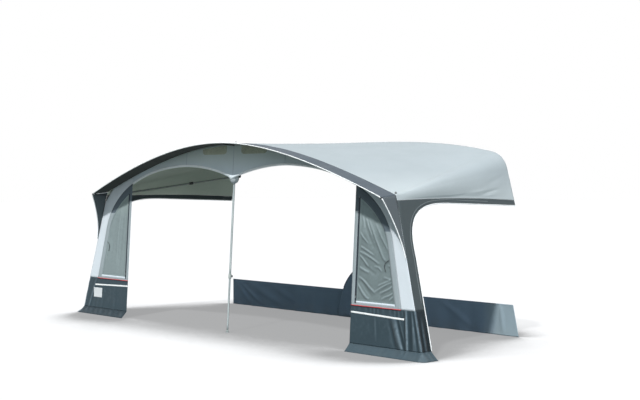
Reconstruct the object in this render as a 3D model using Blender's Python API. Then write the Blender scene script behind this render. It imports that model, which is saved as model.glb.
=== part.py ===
"""Porch awning for a touring caravan: roof, visor, two front legs and the pole frame that carries them.

+X runs along the caravan to the right, -Y to the front and +Z up. The origin is the top of the
awning rail at the middle of the caravan's wall, and the ground is RAIL_HEIGHT below it.
Heights named here are above the ground. The cloth is symmetric about X = 0.
"""

from math import cos, hypot, pi, sin, sqrt

import bpy
import bmesh
from mathutils import Matrix, Vector

MM = 0.001

# The rail edge, where the roof hangs on the caravan's wall
RAIL_HEIGHT = 2520 * MM
RAIL_CORNER_DROP = 210 * MM
RAIL_CORNER_HEIGHT = RAIL_HEIGHT - RAIL_CORNER_DROP
RAIL_CORNER_BLEND = 195 * MM
RAIL_END_HALF = 2840 * MM
RAIL_END_DROP = 870 * MM
RAIL_END_HEIGHT = RAIL_HEIGHT - RAIL_END_DROP
RAIL_BEAD_RADIUS = 5 * MM
RAIL_CROWN_POWER = 3

# The front wall leans back from its foot to the arch that the roof ends on
ARCH_DROP = 60 * MM
ARCH_RISE = 650 * MM
ARCH_HEIGHT = RAIL_HEIGHT - ARCH_DROP
CORNER_HEIGHT = ARCH_HEIGHT - ARCH_RISE
FRONT_FOOT_DEPTH = 2410 * MM
FRONT_TOP_DEPTH = 2260 * MM
CORNER_HALF = 2920 * MM
ARCH_ROUNDING = 2200 * MM
LEG_FOOT_HALF = 3430 * MM

# The roof's lower edge at the sides, bowed up between rail and corner
ROOF_REAR_DROP = 795 * MM
ROOF_FRONT_DROP = 60 * MM
ROOF_EDGE_REAR = RAIL_HEIGHT - ROOF_REAR_DROP
ROOF_EDGE_FRONT = CORNER_HEIGHT - ROOF_FRONT_DROP
ROOF_EDGE_BOW = 25 * MM
ROOF_SEAM_HALF = 1013 * MM

# The visor in front of the arch and the gussets that close its ends
VISOR_DEPTH = 300 * MM
VISOR_END_DEPTH = 250 * MM
VISOR_END_DROP = 28 * MM
GUSSET_DROP = 700 * MM
GUSSET_FOOT_HEIGHT = CORNER_HEIGHT - GUSSET_DROP
GUSSET_FOOT_WIDTH = 8 * MM
GUSSET_CURVE_POWER = 1.6
PIPING_RADIUS = 6 * MM
PIPING_BEND = 18 * MM
PIPING_CORNER_REACH = 6 * MM

# The valance between the legs: two shallow arches that meet at the middle pole
VALANCE_PEAK_HALF = 1050 * MM
VALANCE_MIDDLE_DROP = 440 * MM
OPENING_TOP_DROP = 275 * MM
OPENING_SPRING_DROP = 560 * MM
OPENING_SPRING = CORNER_HEIGHT - OPENING_SPRING_DROP
OPENING_SPRING_INSET = 176 * MM
OPENING_POWER = 2.3
HEM_RADIUS = 6 * MM
VENT_INNER = 150 * MM
VENT_OUTER = 660 * MM
VENT_FOOT_DROP = 140 * MM
VENT_CORNER = 35 * MM
VENT_TOP_MARGIN = 22 * MM

# The legs: a window framed by light strips, a pale outer panel and a dark skirt
LEG_INNER = 2280 * MM
FRAME_FOOT_INSET = 214 * MM
WINDOW_CENTRE = 1600 * MM
WINDOW_TOP_DROP = 456 * MM
WINDOW_SPRING_INSET = 258 * MM
WINDOW_FOOT_INSET = 297.5 * MM
WINDOW_FOOT = 605 * MM
ZIP_STRIP_WIDTH = 55 * MM
ZIP_TAPE_WIDTH = 25 * MM
CURTAIN_FOLD = 9 * MM
CURTAIN_FADE_SHARE = 0.2
CURTAIN_SLANT_SHARE = 0.7
SKIRT_TOP = 532 * MM
SKIRT_FOLD = 10 * MM
SKIRT_FOLD_START_SHARE = 0.5
MUD_FLAP_HEIGHT = 90 * MM
MUD_FLAP_FLARE = 80 * MM
RED_PIPING_RADIUS = 4 * MM
STRUT_NOTCH = 150 * MM

# The side returns round the open sides
RETURN_WIDTH = 165 * MM
SIDE_BAND_WIDTH = 61 * MM
SIDE_OPENING_RISE = 48 * MM
SIDE_OPENING_BEND = 1400 * MM
SIDE_OPENING_SPRING_DROP = 710 * MM
SIDE_OPENING_SPRING = CORNER_HEIGHT - SIDE_OPENING_SPRING_DROP
SIDE_OPENING_POWER = 3

# Cloth and the gap that sewn pieces keep
CLOTH = 2 * MM
GAP = 0.3 * MM
OVERRUN = 20 * MM

# The small fittings on the left skirt and the curtains
LABEL_INSET = 170 * MM
LABEL_WIDTH = 215 * MM
LABEL_FOOT = 245 * MM
LABEL_TOP = 385 * MM
LABEL_THICKNESS = 1 * MM
SLIDER_LENGTH = 32 * MM
SLIDER_WIDTH = 16 * MM
SLIDER_THICKNESS = 6 * MM
SLIDER_REST = 640 * MM
TIE_HEIGHT = 1075 * MM
TIE_RADIUS = 3 * MM
TIE_LENGTH = 120 * MM

# The middle pole's cup, which pulls the valance down to a point
CUP_HALF = 215 * MM
CUP_WING_DROP = 388 * MM
CUP_FOOT_DROP = 518 * MM
CUP_LENGTH = 50 * MM
CUP_RADIUS = 44 * MM
CUP_FOOT_RADIUS = 24 * MM
CUP_PLATE = 4 * MM
CUP_BELLY_SHARE = 0.85

# The poles
POLE_RADIUS = 14 * MM
POLE_BORE = 12.8 * MM
INNER_POLE_RADIUS = 12.5 * MM
INNER_POLE_BORE = 11 * MM
FRONT_POLE_INSET = 30 * MM
FOOT_INSET = 50 * MM
CLAMP_HEIGHT = 730 * MM
CLAMP_LENGTH = 62 * MM
CLAMP_RADIUS = 21 * MM
POLE_OVERLAP = 380 * MM
FOOT_RADIUS = 30 * MM
FOOT_THICKNESS = 8 * MM
HUB_RADIUS = 22 * MM
HUB_INSET = 36 * MM
HUB_DROP = 52 * MM
SOCKET_RADIUS = 17 * MM
SOCKET_LENGTH = 48 * MM
SPIGOT_RADIUS = 4 * MM
SPIGOT_REACH = 28 * MM
STRUT_RADIUS = 6 * MM
STRUT_END_INSET = 22 * MM
ARCH_POLE_DROP = 20 * MM
RAFTER_REAR_INSET = 99 * MM
RAFTER_REAR_DROP = 470 * MM
RAFTER_CLAMP_SHARE = 0.62
PAD_RADIUS = 30 * MM
PAD_THICKNESS = 12 * MM
KNOB_RADIUS = 15 * MM
KNOB_LENGTH = 12 * MM
KNOB_STEM_RADIUS = 5 * MM
KNOB_STEM_LENGTH = 6 * MM
KNOB_LOBE_SHARE = 0.72

# The draught skirt under the caravan and its wheel cover
DRAUGHT_HALF = 2800 * MM
DRAUGHT_HEIGHT = 400 * MM
DRAUGHT_FOLD = 12 * MM
DRAUGHT_FOLD_PITCH = 350 * MM
WHEEL_COVER_X = 250 * MM
WHEEL_COVER_HALF = 600 * MM
WHEEL_COVER_HEIGHT = 770 * MM

# Counts
VALANCE_STEPS = 9
LEG_STEPS = 5
BEND_STEPS = 5
SIDE_STEPS = 3
ROOF_ROWS = 6
VISOR_ROWS = 3
GUSSET_STEPS = 7
FRAME_ARCH_STEPS = 8
VENT_STEPS = 4
CURTAIN_ROWS = 12
CURTAIN_WAVES = 2
SKIRT_FRONT_STEPS = 24
SKIRT_SIDE_STEPS = 4
SKIRT_FOLDS = 5
SKIRT_ROWS = 4
SIDE_TOP_STEPS = 3
SIDE_BEND_STEPS = 8
DRAUGHT_ROWS = 2
FOLD_STEPS = 4
WHEEL_STEPS = 14
SEARCH_STEPS = 40
SIDES = (("left", -1), ("right", 1))
POLE_SIDES = 16

# Colours in linear light
PALE_GREY = (0.50, 0.56, 0.61)
MID_GREY = (0.16, 0.19, 0.22)
DARK_GREY = (0.07, 0.09, 0.11)
WHITE = (0.82, 0.85, 0.88)
STRIP_GREY = (0.40, 0.43, 0.46)
CURTAIN_GREY = (0.30, 0.34, 0.34)
STEEL = (0.55, 0.58, 0.60)
BLACK = (0.012, 0.013, 0.015)
RED = (0.50, 0.05, 0.06)
NAVY = (0.035, 0.055, 0.09)
MESH_BROWN = (0.11, 0.11, 0.09)


def clear_scene():
    for obj in list(bpy.data.objects):
        bpy.data.objects.remove(obj, do_unlink=True)


def make_material(name, colour, roughness, metallic=0.0):
    made = bpy.data.materials.new(name)
    made.use_nodes = True
    shader = made.node_tree.nodes["Principled BSDF"]
    shader.inputs["Base Color"].default_value = (*colour, 1.0)
    shader.inputs["Roughness"].default_value = roughness
    shader.inputs["Metallic"].default_value = metallic
    return made


def add_mesh(name, bm, material):
    """An object from a closed bmesh, its faces turned outward."""
    bmesh.ops.recalc_face_normals(bm, faces=bm.faces)
    mesh = bpy.data.meshes.new(name)
    bm.to_mesh(mesh)
    bm.free()
    mesh.materials.append(material)
    obj = bpy.data.objects.new(name, mesh)
    bpy.context.scene.collection.objects.link(obj)
    return obj


# The surfaces that the cloth lies in


def lerp(start, end, share):
    return start + (end - start) * share


def at(x, y, height):
    return Vector((x, y, height - RAIL_HEIGHT))


def height_of(point):
    return point.z + RAIL_HEIGHT


def front_y(height):
    return -lerp(FRONT_FOOT_DEPTH, FRONT_TOP_DEPTH, height / ARCH_HEIGHT)


def on_front(x, height, forward=0.0):
    return at(x, front_y(height) - forward, height)


def corner_x(height):
    return lerp(CORNER_HALF, LEG_FOOT_HALF, (CORNER_HEIGHT - height) / CORNER_HEIGHT)


def side_lean():
    """How far the side wall moves in for each length that it rises."""
    return (LEG_FOOT_HALF - CORNER_HALF) / CORNER_HEIGHT


def side_x(y, height):
    """How far out the side wall stands: it passes through the leg's corner and the rail's end."""
    rail_front = front_y(RAIL_END_HEIGHT)
    taper = (RAIL_END_HALF - corner_x(RAIL_END_HEIGHT)) / -rail_front
    return corner_x(height) + (y - front_y(height)) * taper


def on_side(side, y, height):
    return at(side * side_x(y, height), y, height)


def arch_height(x):
    """A hyperbola: nearly straight at the corners and rounded over the middle."""
    rise = sqrt(1 + (x / ARCH_ROUNDING) ** 2) - 1
    full = sqrt(1 + (CORNER_HALF / ARCH_ROUNDING) ** 2) - 1
    return lerp(ARCH_HEIGHT, CORNER_HEIGHT, rise / full)


def arch_stations():
    """Distances from the middle, shared by every piece that meets the arch."""
    inner = [LEG_INNER * k / VALANCE_STEPS for k in range(VALANCE_STEPS)]
    outer = [lerp(LEG_INNER, CORNER_HALF, k / LEG_STEPS) for k in range(LEG_STEPS + 1)]
    return inner + outer


def seam_height(x):
    """The arch as its straight stretches between stations."""
    stations = arch_stations()
    x = min(abs(x), stations[-1])
    for low, high in zip(stations, stations[1:]):
        if x <= high:
            return lerp(arch_height(low), arch_height(high), (x - low) / (high - low))
    return arch_height(x)


def square_drop(x, below):
    """How far straight down a point lies that is this far square below the arch."""
    slope = (arch_height(x + MM) - arch_height(x - MM)) / (MM + MM)
    return below * sqrt(1 + slope * slope)


def under_arch(x, below):
    """Height of a point this far square below the seam."""
    return seam_height(x) - square_drop(x, below)


def rail_height(x):
    corner = side_x(0, RAIL_CORNER_HEIGHT)
    return lerp(RAIL_HEIGHT, RAIL_CORNER_HEIGHT, (x / corner) ** RAIL_CROWN_POWER)


def rail_half():
    """The rail edge from the middle to the roof's lower edge, on the right."""
    stations = arch_stations()
    corner = at(side_x(0, RAIL_CORNER_HEIGHT), 0, RAIL_CORNER_HEIGHT)
    last_x = corner.x - RAIL_CORNER_BLEND
    points = [at(last_x * x / CORNER_HALF, 0, rail_height(last_x * x / CORNER_HALF)) for x in stations]
    foot = on_side(1, 0, ROOF_EDGE_REAR)
    below = corner + (foot - corner).normalized() * RAIL_CORNER_BLEND
    above = points[-1]
    for k in range(1, BEND_STEPS + 1):
        share = k / BEND_STEPS
        points.append(lerp(lerp(above, corner, share), lerp(corner, below, share), share))
    points += [lerp(below, foot, k / SIDE_STEPS) for k in range(1, SIDE_STEPS + 1)]
    return points


def front_half():
    """The roof's front edge, point for point against the rail edge."""
    points = [on_front(x, arch_height(x)) for x in arch_stations()]
    steps = BEND_STEPS + SIDE_STEPS
    for k in range(1, steps + 1):
        height = lerp(CORNER_HEIGHT, ROOF_EDGE_FRONT, k / steps)
        points.append(on_front(corner_x(height), height))
    return points


def mirrored(half):
    """Points from the middle outward made into one run from left to right."""
    left = [Vector((-p.x, p.y, p.z)) for p in reversed(half[1:])]
    return left + half


def roof_row(share):
    """The roof's section at a share of the way from rail to front."""
    rail = rail_half()
    front = front_half()
    first_side = len(arch_stations())
    steps = BEND_STEPS + SIDE_STEPS
    row = []
    for k, (back, fore) in enumerate(zip(rail, front)):
        point = lerp(back, fore, share)
        if k >= first_side:
            lift = ROOF_EDGE_BOW * 4 * share * (1 - share) * (k - first_side + 1) / steps
            point += Vector((-side_lean() * lift, 0, lift))
        row.append(point)
    return mirrored(row)


def row_inward(row):
    """Directions square to a section, towards the inside of the awning."""
    directions = []
    for k in range(len(row)):
        run = row[min(k + 1, len(row) - 1)] - row[max(k - 1, 0)]
        directions.append(Vector((run.z, 0, -run.x)).normalized())
    return directions


def rear_edge():
    """How far in front of the wall the cloth starts, against the round of the bead."""
    above_middle = RAIL_BEAD_RADIUS - CLOTH
    return RAIL_BEAD_RADIUS + sqrt(RAIL_BEAD_RADIUS ** 2 - above_middle ** 2) + GAP


def roof_shares():
    """Shares of the depth for the roof's rows, clear of the bead behind and the visor in front."""
    first = rear_edge() / FRONT_TOP_DEPTH
    last = 1 - GAP / FRONT_TOP_DEPTH
    return [lerp(first, last, k / ROOF_ROWS) for k in range(ROOF_ROWS + 1)]


# Building closed cloth from two grids of points


def pull_in(grid, ends=(True, True), gap=GAP):
    """A grid whose first and last rows are drawn in by the sewing gap."""
    grid = [list(row) for row in grid]
    if ends[0]:
        grid[0] = [a + (b - a).normalized() * gap for a, b in zip(grid[0], grid[1])]
    if ends[1]:
        grid[-1] = [a + (b - a).normalized() * gap for a, b in zip(grid[-1], grid[-2])]
    return grid


def turned_grid(grid):
    return [list(row) for row in zip(*grid)]


def offset_grid(grid, offset):
    return [[point + offset for point in row] for row in grid]


def sheet(name, outer, inner, material, closed=False):
    """Cloth with the outer and inner grids as its faces and a rim round them."""
    bm = bmesh.new()
    rows = len(outer)
    columns = len(outer[0])
    faces = [[bm.verts.new(p) for p in row] for row in outer]
    backs = [[bm.verts.new(p) for p in row] for row in inner]
    spans = range(columns if closed else columns - 1)
    for i in range(rows - 1):
        for j in spans:
            k = (j + 1) % columns
            bm.faces.new((faces[i][j], faces[i][k], faces[i + 1][k], faces[i + 1][j]))
            bm.faces.new((backs[i][j], backs[i + 1][j], backs[i + 1][k], backs[i][k]))
    for j in spans:
        k = (j + 1) % columns
        bm.faces.new((faces[0][j], backs[0][j], backs[0][k], faces[0][k]))
        bm.faces.new((faces[-1][j], faces[-1][k], backs[-1][k], backs[-1][j]))
    if not closed:
        for i in range(rows - 1):
            bm.faces.new((faces[i][0], faces[i + 1][0], backs[i + 1][0], backs[i][0]))
            bm.faces.new((faces[i][-1], backs[i][-1], backs[i + 1][-1], faces[i + 1][-1]))
    return add_mesh(name, bm, material)


def front_plate(name, outline, forward, thickness, material):
    """A flat piece on the front wall from an outline of (x, height) points."""
    bm = bmesh.new()
    near = [bm.verts.new(on_front(x, h, forward + thickness)) for x, h in outline]
    far = [bm.verts.new(on_front(x, h, forward)) for x, h in outline]
    bm.faces.new(near)
    bm.faces.new(list(reversed(far)))
    for j in range(len(outline)):
        k = (j + 1) % len(outline)
        bm.faces.new((near[j], far[j], far[k], near[k]))
    return add_mesh(name, bm, material)


def tube(name, points, radius, material, resolution=1):
    """A round bead or cord along points, with closed ends."""
    curve = bpy.data.curves.new(name, "CURVE")
    curve.dimensions = "3D"
    curve.bevel_depth = radius
    curve.bevel_resolution = resolution
    curve.use_fill_caps = True
    spline = curve.splines.new("POLY")
    spline.points.add(len(points) - 1)
    for slot, point in zip(spline.points, points):
        slot.co = (*point, 1)
    curve.materials.append(material)
    obj = bpy.data.objects.new(name, curve)
    bpy.context.scene.collection.objects.link(obj)
    return obj


def swept_pole(name, points, radius, bore, material):
    """A bent pole with an open bore: an outer and an inner skin along the points."""
    outer = []
    inner = []
    for k, point in enumerate(points):
        run = (points[min(k + 1, len(points) - 1)] - points[max(k - 1, 0)]).normalized()
        across = Vector((0, 1, 0)).cross(run).normalized()
        up = run.cross(across)
        turns = [2 * pi * n / POLE_SIDES for n in range(POLE_SIDES)]
        spokes = [across * cos(turn) + up * sin(turn) for turn in turns]
        outer.append([point + spoke * radius for spoke in spokes])
        inner.append([point + spoke * bore for spoke in spokes])
    return sheet(name, outer, inner, material, closed=True)


def turned_mesh(profile, sides=POLE_SIDES, hollow=False, lobe_share=1.0):
    """A bmesh turned about Z from (radius, along) points; lobes pull in every other vertex."""
    bm = bmesh.new()
    rings = []
    for radius, along, lobed in profile:
        count = sides if radius > 0 else 1
        ring = []
        for k in range(count):
            turn = 2 * pi * (k + 1 / 2) / sides
            reach = radius * (lobe_share if lobed and k % 2 else 1)
            ring.append(bm.verts.new((reach * cos(turn), reach * sin(turn), along)))
        rings.append(ring)
    pairs = list(zip(rings, rings[1:])) + ([(rings[-1], rings[0])] if hollow else [])
    for low, high in pairs:
        for k in range(sides):
            n = k + 1
            corners = (low[k % len(low)], low[n % len(low)], high[n % len(high)], high[k % len(high)])
            bm.faces.new(list(dict.fromkeys(corners)))
    return bm


def turned(name, profile, material, hollow=False, **options):
    plain = [(*entry, False) if len(entry) == 2 else entry for entry in profile]
    return add_mesh(name, turned_mesh(plain, hollow=hollow, **options), material)


def aim(obj, origin, direction, facing=None):
    """Stand an object's Z along a direction, with its X as near as it can be to facing."""
    up = direction.normalized()
    facing = facing or up.orthogonal()
    side = (facing - up * facing.dot(up)).normalized()
    rows = Matrix((side, up.cross(side), up)).transposed()
    obj.matrix_world = Matrix.Translation(origin) @ rows.to_4x4()
    return obj


def boolean(target, other, operation):
    modifier = target.modifiers.new(operation.title(), "BOOLEAN")
    modifier.operation = operation
    modifier.object = other
    other.hide_render = True
    other.display_type = "WIRE"


def join(target, *others):
    for other in others:
        boolean(target, other, "UNION")
    return target


def cut(target, *cutters):
    for cutter in cutters:
        boolean(target, cutter, "DIFFERENCE")
    return target


def rod(name, start, end, radius, material):
    profile = [(0, 0), (radius, 0), (radius, (end - start).length), (0, (end - start).length)]
    return aim(turned(name, profile, material), start, end - start)


# The arches of the doorway and of the windows, in the front wall


class Arch:
    """A quarter of a rounded arch that leans with a straight leg below its spring."""

    def __init__(self, centre, top, spring, spring_half, foot_half, foot, power):
        self.centre = centre
        self.spring = spring
        self.rise = top - spring
        self.reach = spring_half - centre
        self.lean = (foot_half - spring_half) / (spring - foot)
        self.power = power

    def point(self, angle):
        up = max(cos(angle), 0) ** (2 / self.power) * self.rise
        out = max(sin(angle), 0) ** (2 / self.power) * self.reach
        return self.centre + out - self.lean * up, self.spring + up

    def angle_at(self, x):
        low, high = 0.0, pi / 2
        for _ in range(SEARCH_STEPS):
            middle = (low + high) / 2
            if self.point(middle)[0] < x:
                low = middle
            else:
                high = middle
        return low

    def height_at(self, x):
        return self.point(self.angle_at(x))[1]

    def half_at(self, height):
        """The straight leg's distance from the middle."""
        return self.centre + self.reach + self.lean * (self.spring - height)

    def run(self, start_x, steps):
        """Points from start_x round to the spring."""
        first = self.angle_at(start_x)
        return [self.point(lerp(first, pi / 2, k / steps)) for k in range(steps + 1)]


def doorway():
    spring_half = corner_x(OPENING_SPRING) - OPENING_SPRING_INSET
    foot_half = corner_x(SKIRT_TOP) - FRAME_FOOT_INSET
    return Arch(VALANCE_PEAK_HALF, ARCH_HEIGHT - OPENING_TOP_DROP, OPENING_SPRING, spring_half,
                foot_half, SKIRT_TOP, OPENING_POWER)


def window():
    spring_half = corner_x(OPENING_SPRING) - WINDOW_SPRING_INSET
    foot_half = corner_x(WINDOW_FOOT) - WINDOW_FOOT_INSET
    return Arch(WINDOW_CENTRE, ARCH_HEIGHT - WINDOW_TOP_DROP, OPENING_SPRING, spring_half,
                foot_half, WINDOW_FOOT, 2)


def hem_height(x):
    """The valance's lower edge."""
    x = abs(x)
    if x > VALANCE_PEAK_HALF:
        return doorway().height_at(x)
    peak = doorway().height_at(VALANCE_PEAK_HALF)
    return lerp(peak, ARCH_HEIGHT - VALANCE_MIDDLE_DROP, (1 - x / VALANCE_PEAK_HALF) ** 2)


# Cloth


def build_roof(materials):
    outer = [roof_row(share) for share in roof_shares()]
    inner = [[p + d * CLOTH for p, d in zip(row, row_inward(row))] for row in outer]
    outer = turned_grid(outer)
    inner = turned_grid(inner)
    stations = arch_stations()
    seam = min(range(len(stations)), key=lambda k: abs(stations[k] - ROOF_SEAM_HALF))
    middle = len(outer) // 2
    spans = {
        "roof_left": (0, middle - seam, (False, True)),
        "roof_centre": (middle - seam, middle + seam, (True, True)),
        "roof_right": (middle + seam, len(outer) - 1, (True, False)),
    }
    for name, (first, last, ends) in spans.items():
        face = pull_in(outer[first:last + 1], ends)
        back = pull_in(inner[first:last + 1], ends)
        sheet(name, face, back, materials["roof"])


def visor_point(x, share):
    """A point of the visor between seam and front edge, for x along the arch."""
    out = abs(x) / CORNER_HALF
    depth = lerp(VISOR_DEPTH, VISOR_END_DEPTH, out * out)
    height = arch_height(x) - VISOR_END_DROP * out ** 4 * share
    y = front_y(arch_height(x)) - depth * share
    widen = side_x(y, height) / corner_x(height) if out else 1
    return at(lerp(x, x * widen, out), y, height)


def visor_stations():
    half = arch_stations()
    return [-x for x in reversed(half[1:])] + half


def build_visor(material):
    rows = []
    for k in range(VISOR_ROWS + 1):
        rows.append([visor_point(x, k / VISOR_ROWS) for x in visor_stations()])
    rows[0] = [p + Vector((0, -GAP, 0)) for p in rows[0]]
    inner = [[p + d * CLOTH for p, d in zip(row, row_inward(row))] for row in rows]
    sheet("visor", rows, inner, material)


def gusset_edge_y(height):
    """The gusset's front edge, drawn in to the corner line at its foot."""
    top = CORNER_HEIGHT - VISOR_END_DROP
    share = (height - GUSSET_FOOT_HEIGHT) / (top - GUSSET_FOOT_HEIGHT)
    width = GUSSET_FOOT_WIDTH + (VISOR_END_DEPTH - GUSSET_FOOT_WIDTH) * max(share, 0) ** GUSSET_CURVE_POWER
    return front_y(height) - width


def gusset_rows():
    """Pairs of (height at the corner line, height at the front edge) from foot to top."""
    inner_top = CORNER_HEIGHT - square_drop(CORNER_HALF, CLOTH + GAP + GAP)
    outer_top = inner_top - VISOR_END_DROP
    shares = [k / GUSSET_STEPS for k in range(GUSSET_STEPS + 1)]
    return [(lerp(GUSSET_FOOT_HEIGHT, inner_top, s), lerp(GUSSET_FOOT_HEIGHT, outer_top, s)) for s in shares]


def build_gusset(name, side, material):
    outer = []
    for inner_height, edge_height in gusset_rows():
        near = on_side(side, front_y(inner_height) - GAP, inner_height)
        far = on_side(side, gusset_edge_y(edge_height) + GAP, edge_height)
        outer.append([near, far])
    sheet(name, outer, offset_grid(outer, Vector((-side * CLOTH, 0, 0))), material)


def build_visor_piping(material):
    forward = Vector((0, -PIPING_RADIUS, 0))
    edge = [visor_point(x, 1) + forward - Vector((0, GAP, CLOTH / 2)) for x in visor_stations()]
    edge[0].y -= PIPING_CORNER_REACH
    edge[-1].y -= PIPING_CORNER_REACH
    legs = []
    for side in (-1, 1):
        heights = [far for _, far in gusset_rows()]
        inset = Vector((-side * CLOTH / 2, 0, 0))
        leg = []
        for h in heights:
            slope = (gusset_edge_y(h + MM) - gusset_edge_y(h - MM)) / (MM + MM)
            clear = PIPING_RADIUS * sqrt(1 + slope * slope)
            leg.append(on_side(side, gusset_edge_y(h) - clear, h) + inset)
        legs.append(leg)
    left, right = legs
    left = left[:-1]
    right = list(reversed(right[:-1]))
    points = left + rounded_corner(left[-1], edge[0], edge[1]) + edge[1:-1]
    points += rounded_corner(edge[-2], edge[-1], right[0]) + right
    tube("visor_piping", points, PIPING_RADIUS, material)


def rounded_corner(before, corner, after):
    start = corner + (before - corner).normalized() * PIPING_BEND
    end = corner + (after - corner).normalized() * PIPING_BEND
    middle = lerp(lerp(start, corner, 1 / 2), lerp(corner, end, 1 / 2), 1 / 2)
    return [start, middle, end]


def build_rail_bead(material):
    row = roof_row(RAIL_BEAD_RADIUS / FRONT_TOP_DEPTH)
    points = [p + d * RAIL_BEAD_RADIUS for p, d in zip(row, row_inward(row))]
    for side, index in ((-1, 0), (1, -1)):
        inward = row_inward(row)[index] * RAIL_BEAD_RADIUS
        end = on_side(side, -RAIL_BEAD_RADIUS, RAIL_END_HEIGHT) + inward
        points.insert(0 if side < 0 else len(points), end)
    tube("rail_bead", points, RAIL_BEAD_RADIUS, material)


def valance_stations():
    half = sorted(set(arch_stations()[:VALANCE_STEPS + 1] + [CUP_RADIUS, CUP_HALF / 2, CUP_HALF]))
    return [-x for x in reversed(half[1:])] + half


def valance_top(x):
    return under_arch(x, CLOTH + GAP + GAP)


def build_valance(material):
    inset = GAP / LEG_INNER
    columns = []
    for x in valance_stations():
        top = valance_top(x)
        foot = hem_height(x)
        columns.append([on_front(x * (1 - inset), lerp(top, foot, k / 2)) for k in range(3)])
    back = offset_grid(columns, Vector((0, CLOTH, 0)))
    return sheet("valance", columns, back, material)


def hem_points():
    """The hem's centre line, square below the valance's edge."""
    xs = valance_stations()
    middle = Vector((0, CLOTH / 2, 0))
    edge = [on_front(x, hem_height(x)) + middle for x in xs]
    points = []
    for point, inward in zip(edge, row_inward(edge)):
        points.append(point + inward * (HEM_RADIUS + GAP))
    inset = Vector((HEM_RADIUS, 0, 0))
    points[0] += inset
    points[-1] -= inset
    return points


def vent_outline(side, grow=0.0):
    """A vent with a straight foot, rounded lower corners and a top that follows the arch."""
    inner = VENT_INNER - grow
    outer = VENT_OUTER + grow
    foot = ARCH_HEIGHT - VENT_FOOT_DROP - grow
    points = []
    for end, towards in ((outer, -1), (inner, 1)):
        centre = end + towards * VENT_CORNER
        sweep = [k / VENT_STEPS * pi / 2 for k in range(VENT_STEPS + 1)]
        arc = [(centre - towards * VENT_CORNER * cos(t), foot + VENT_CORNER * (1 - sin(t))) for t in sweep]
        points += arc if towards < 0 else list(reversed(arc))
    tops = [lerp(inner, outer, k / VENT_STEPS) for k in range(VENT_STEPS + 1)]
    margin = CLOTH + VENT_TOP_MARGIN - grow
    points += [(x, seam_height(x) - margin) for x in tops]
    return [(side * x, height) for x, height in points]


def build_vents(valance, material, guide):
    for name, side in SIDES:
        cutter = front_plate("vent_cutter_" + name, vent_outline(side, GAP), -OVERRUN,
                             OVERRUN + OVERRUN, guide)
        cut(valance, cutter)
        front_plate("vent_" + name, vent_outline(side), -CLOTH, CLOTH, material)


def leg_frame_loops(side):
    """The window frame's outer and inner outlines, point for point."""
    arch = doorway()
    hole = window()
    foot = SKIRT_TOP + GAP
    hole_left = LEG_INNER + ZIP_STRIP_WIDTH
    tape_right = hole_left + ZIP_TAPE_WIDTH
    outer = [(LEG_INNER, foot)] + [(LEG_INNER, hem_height(LEG_INNER))]
    inner = [(hole_left, WINDOW_FOOT), (hole_left, hole.height_at(hole_left))]
    outer += arch.run(LEG_INNER + ZIP_TAPE_WIDTH, FRAME_ARCH_STEPS)
    inner += hole.run(tape_right, FRAME_ARCH_STEPS)
    outer += [(arch.half_at(foot), foot)]
    inner += [(hole.half_at(WINDOW_FOOT), WINDOW_FOOT)]
    loops = []
    for loop in (outer, inner):
        loops.append([on_front(side * x, height) for x, height in loop])
    return loops


def build_window_frame(name, side, material):
    loops = leg_frame_loops(side)
    sheet(name, loops, offset_grid(loops, Vector((0, CLOTH, 0))), material, closed=True)


def curtain_fold(across, down):
    """How far a point of the curtain hangs back: slanting folds that fade at its edges."""
    fade = min(across, 1 - across, down, 1 - down) / CURTAIN_FADE_SHARE
    wave = cos(2 * pi * (CURTAIN_WAVES * across + down * CURTAIN_SLANT_SHARE))
    return min(fade, 1) * CURTAIN_FOLD * (1 - wave) / 2


def build_curtain(name, side, material):
    hole = window()
    left = LEG_INNER + ZIP_STRIP_WIDTH + ZIP_TAPE_WIDTH
    tops = hole.run(left, FRAME_ARCH_STEPS)
    grid = []
    for k, (top_x, top_height) in enumerate(tops):
        share = k / FRAME_ARCH_STEPS
        foot_x = lerp(left, hole.half_at(WINDOW_FOOT), share)
        column = []
        for row in range(CURTAIN_ROWS + 1):
            down = row / CURTAIN_ROWS
            x = lerp(top_x, foot_x, down)
            height = lerp(top_height, WINDOW_FOOT, down)
            column.append(on_front(side * x, height, -curtain_fold(share, down)))
        grid.append(column)
    grid = pull_in(turned_grid(pull_in(grid)))
    sheet(name, grid, offset_grid(grid, Vector((0, CLOTH, 0))), material)


def zip_tape_outline(side):
    hole = window()
    left = LEG_INNER + ZIP_STRIP_WIDTH + GAP
    right = LEG_INNER + ZIP_STRIP_WIDTH + ZIP_TAPE_WIDTH - GAP
    foot = WINDOW_FOOT + GAP
    tops = [(right, hole.height_at(right) - GAP - GAP), (left, hole.height_at(left) - GAP - GAP)]
    return [(side * x, height) for x, height in [(left, foot), (right, foot)] + tops]


def build_zip(name, side, tape_material, slider_material):
    front_plate("zip_tape_" + name, zip_tape_outline(side), -CLOTH, CLOTH, tape_material)
    middle = LEG_INNER + ZIP_STRIP_WIDTH + ZIP_TAPE_WIDTH / 2
    half = SLIDER_WIDTH / 2
    neck = half / 2
    foot = SLIDER_REST
    shoulder = foot + SLIDER_LENGTH / 2
    outline = [(-neck, foot), (neck, foot), (neck, shoulder), (half, shoulder + neck),
               (half, foot + SLIDER_LENGTH), (-half, foot + SLIDER_LENGTH),
               (-half, shoulder + neck), (-neck, shoulder)]
    placed = [(side * middle + x, height) for x, height in outline]
    slider = front_plate("zip_slider_" + name, placed, GAP, SLIDER_THICKNESS, slider_material)
    origin = on_front(side * middle, foot)
    slider.data.transform(Matrix.Translation(-origin))
    slider.location = origin


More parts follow.
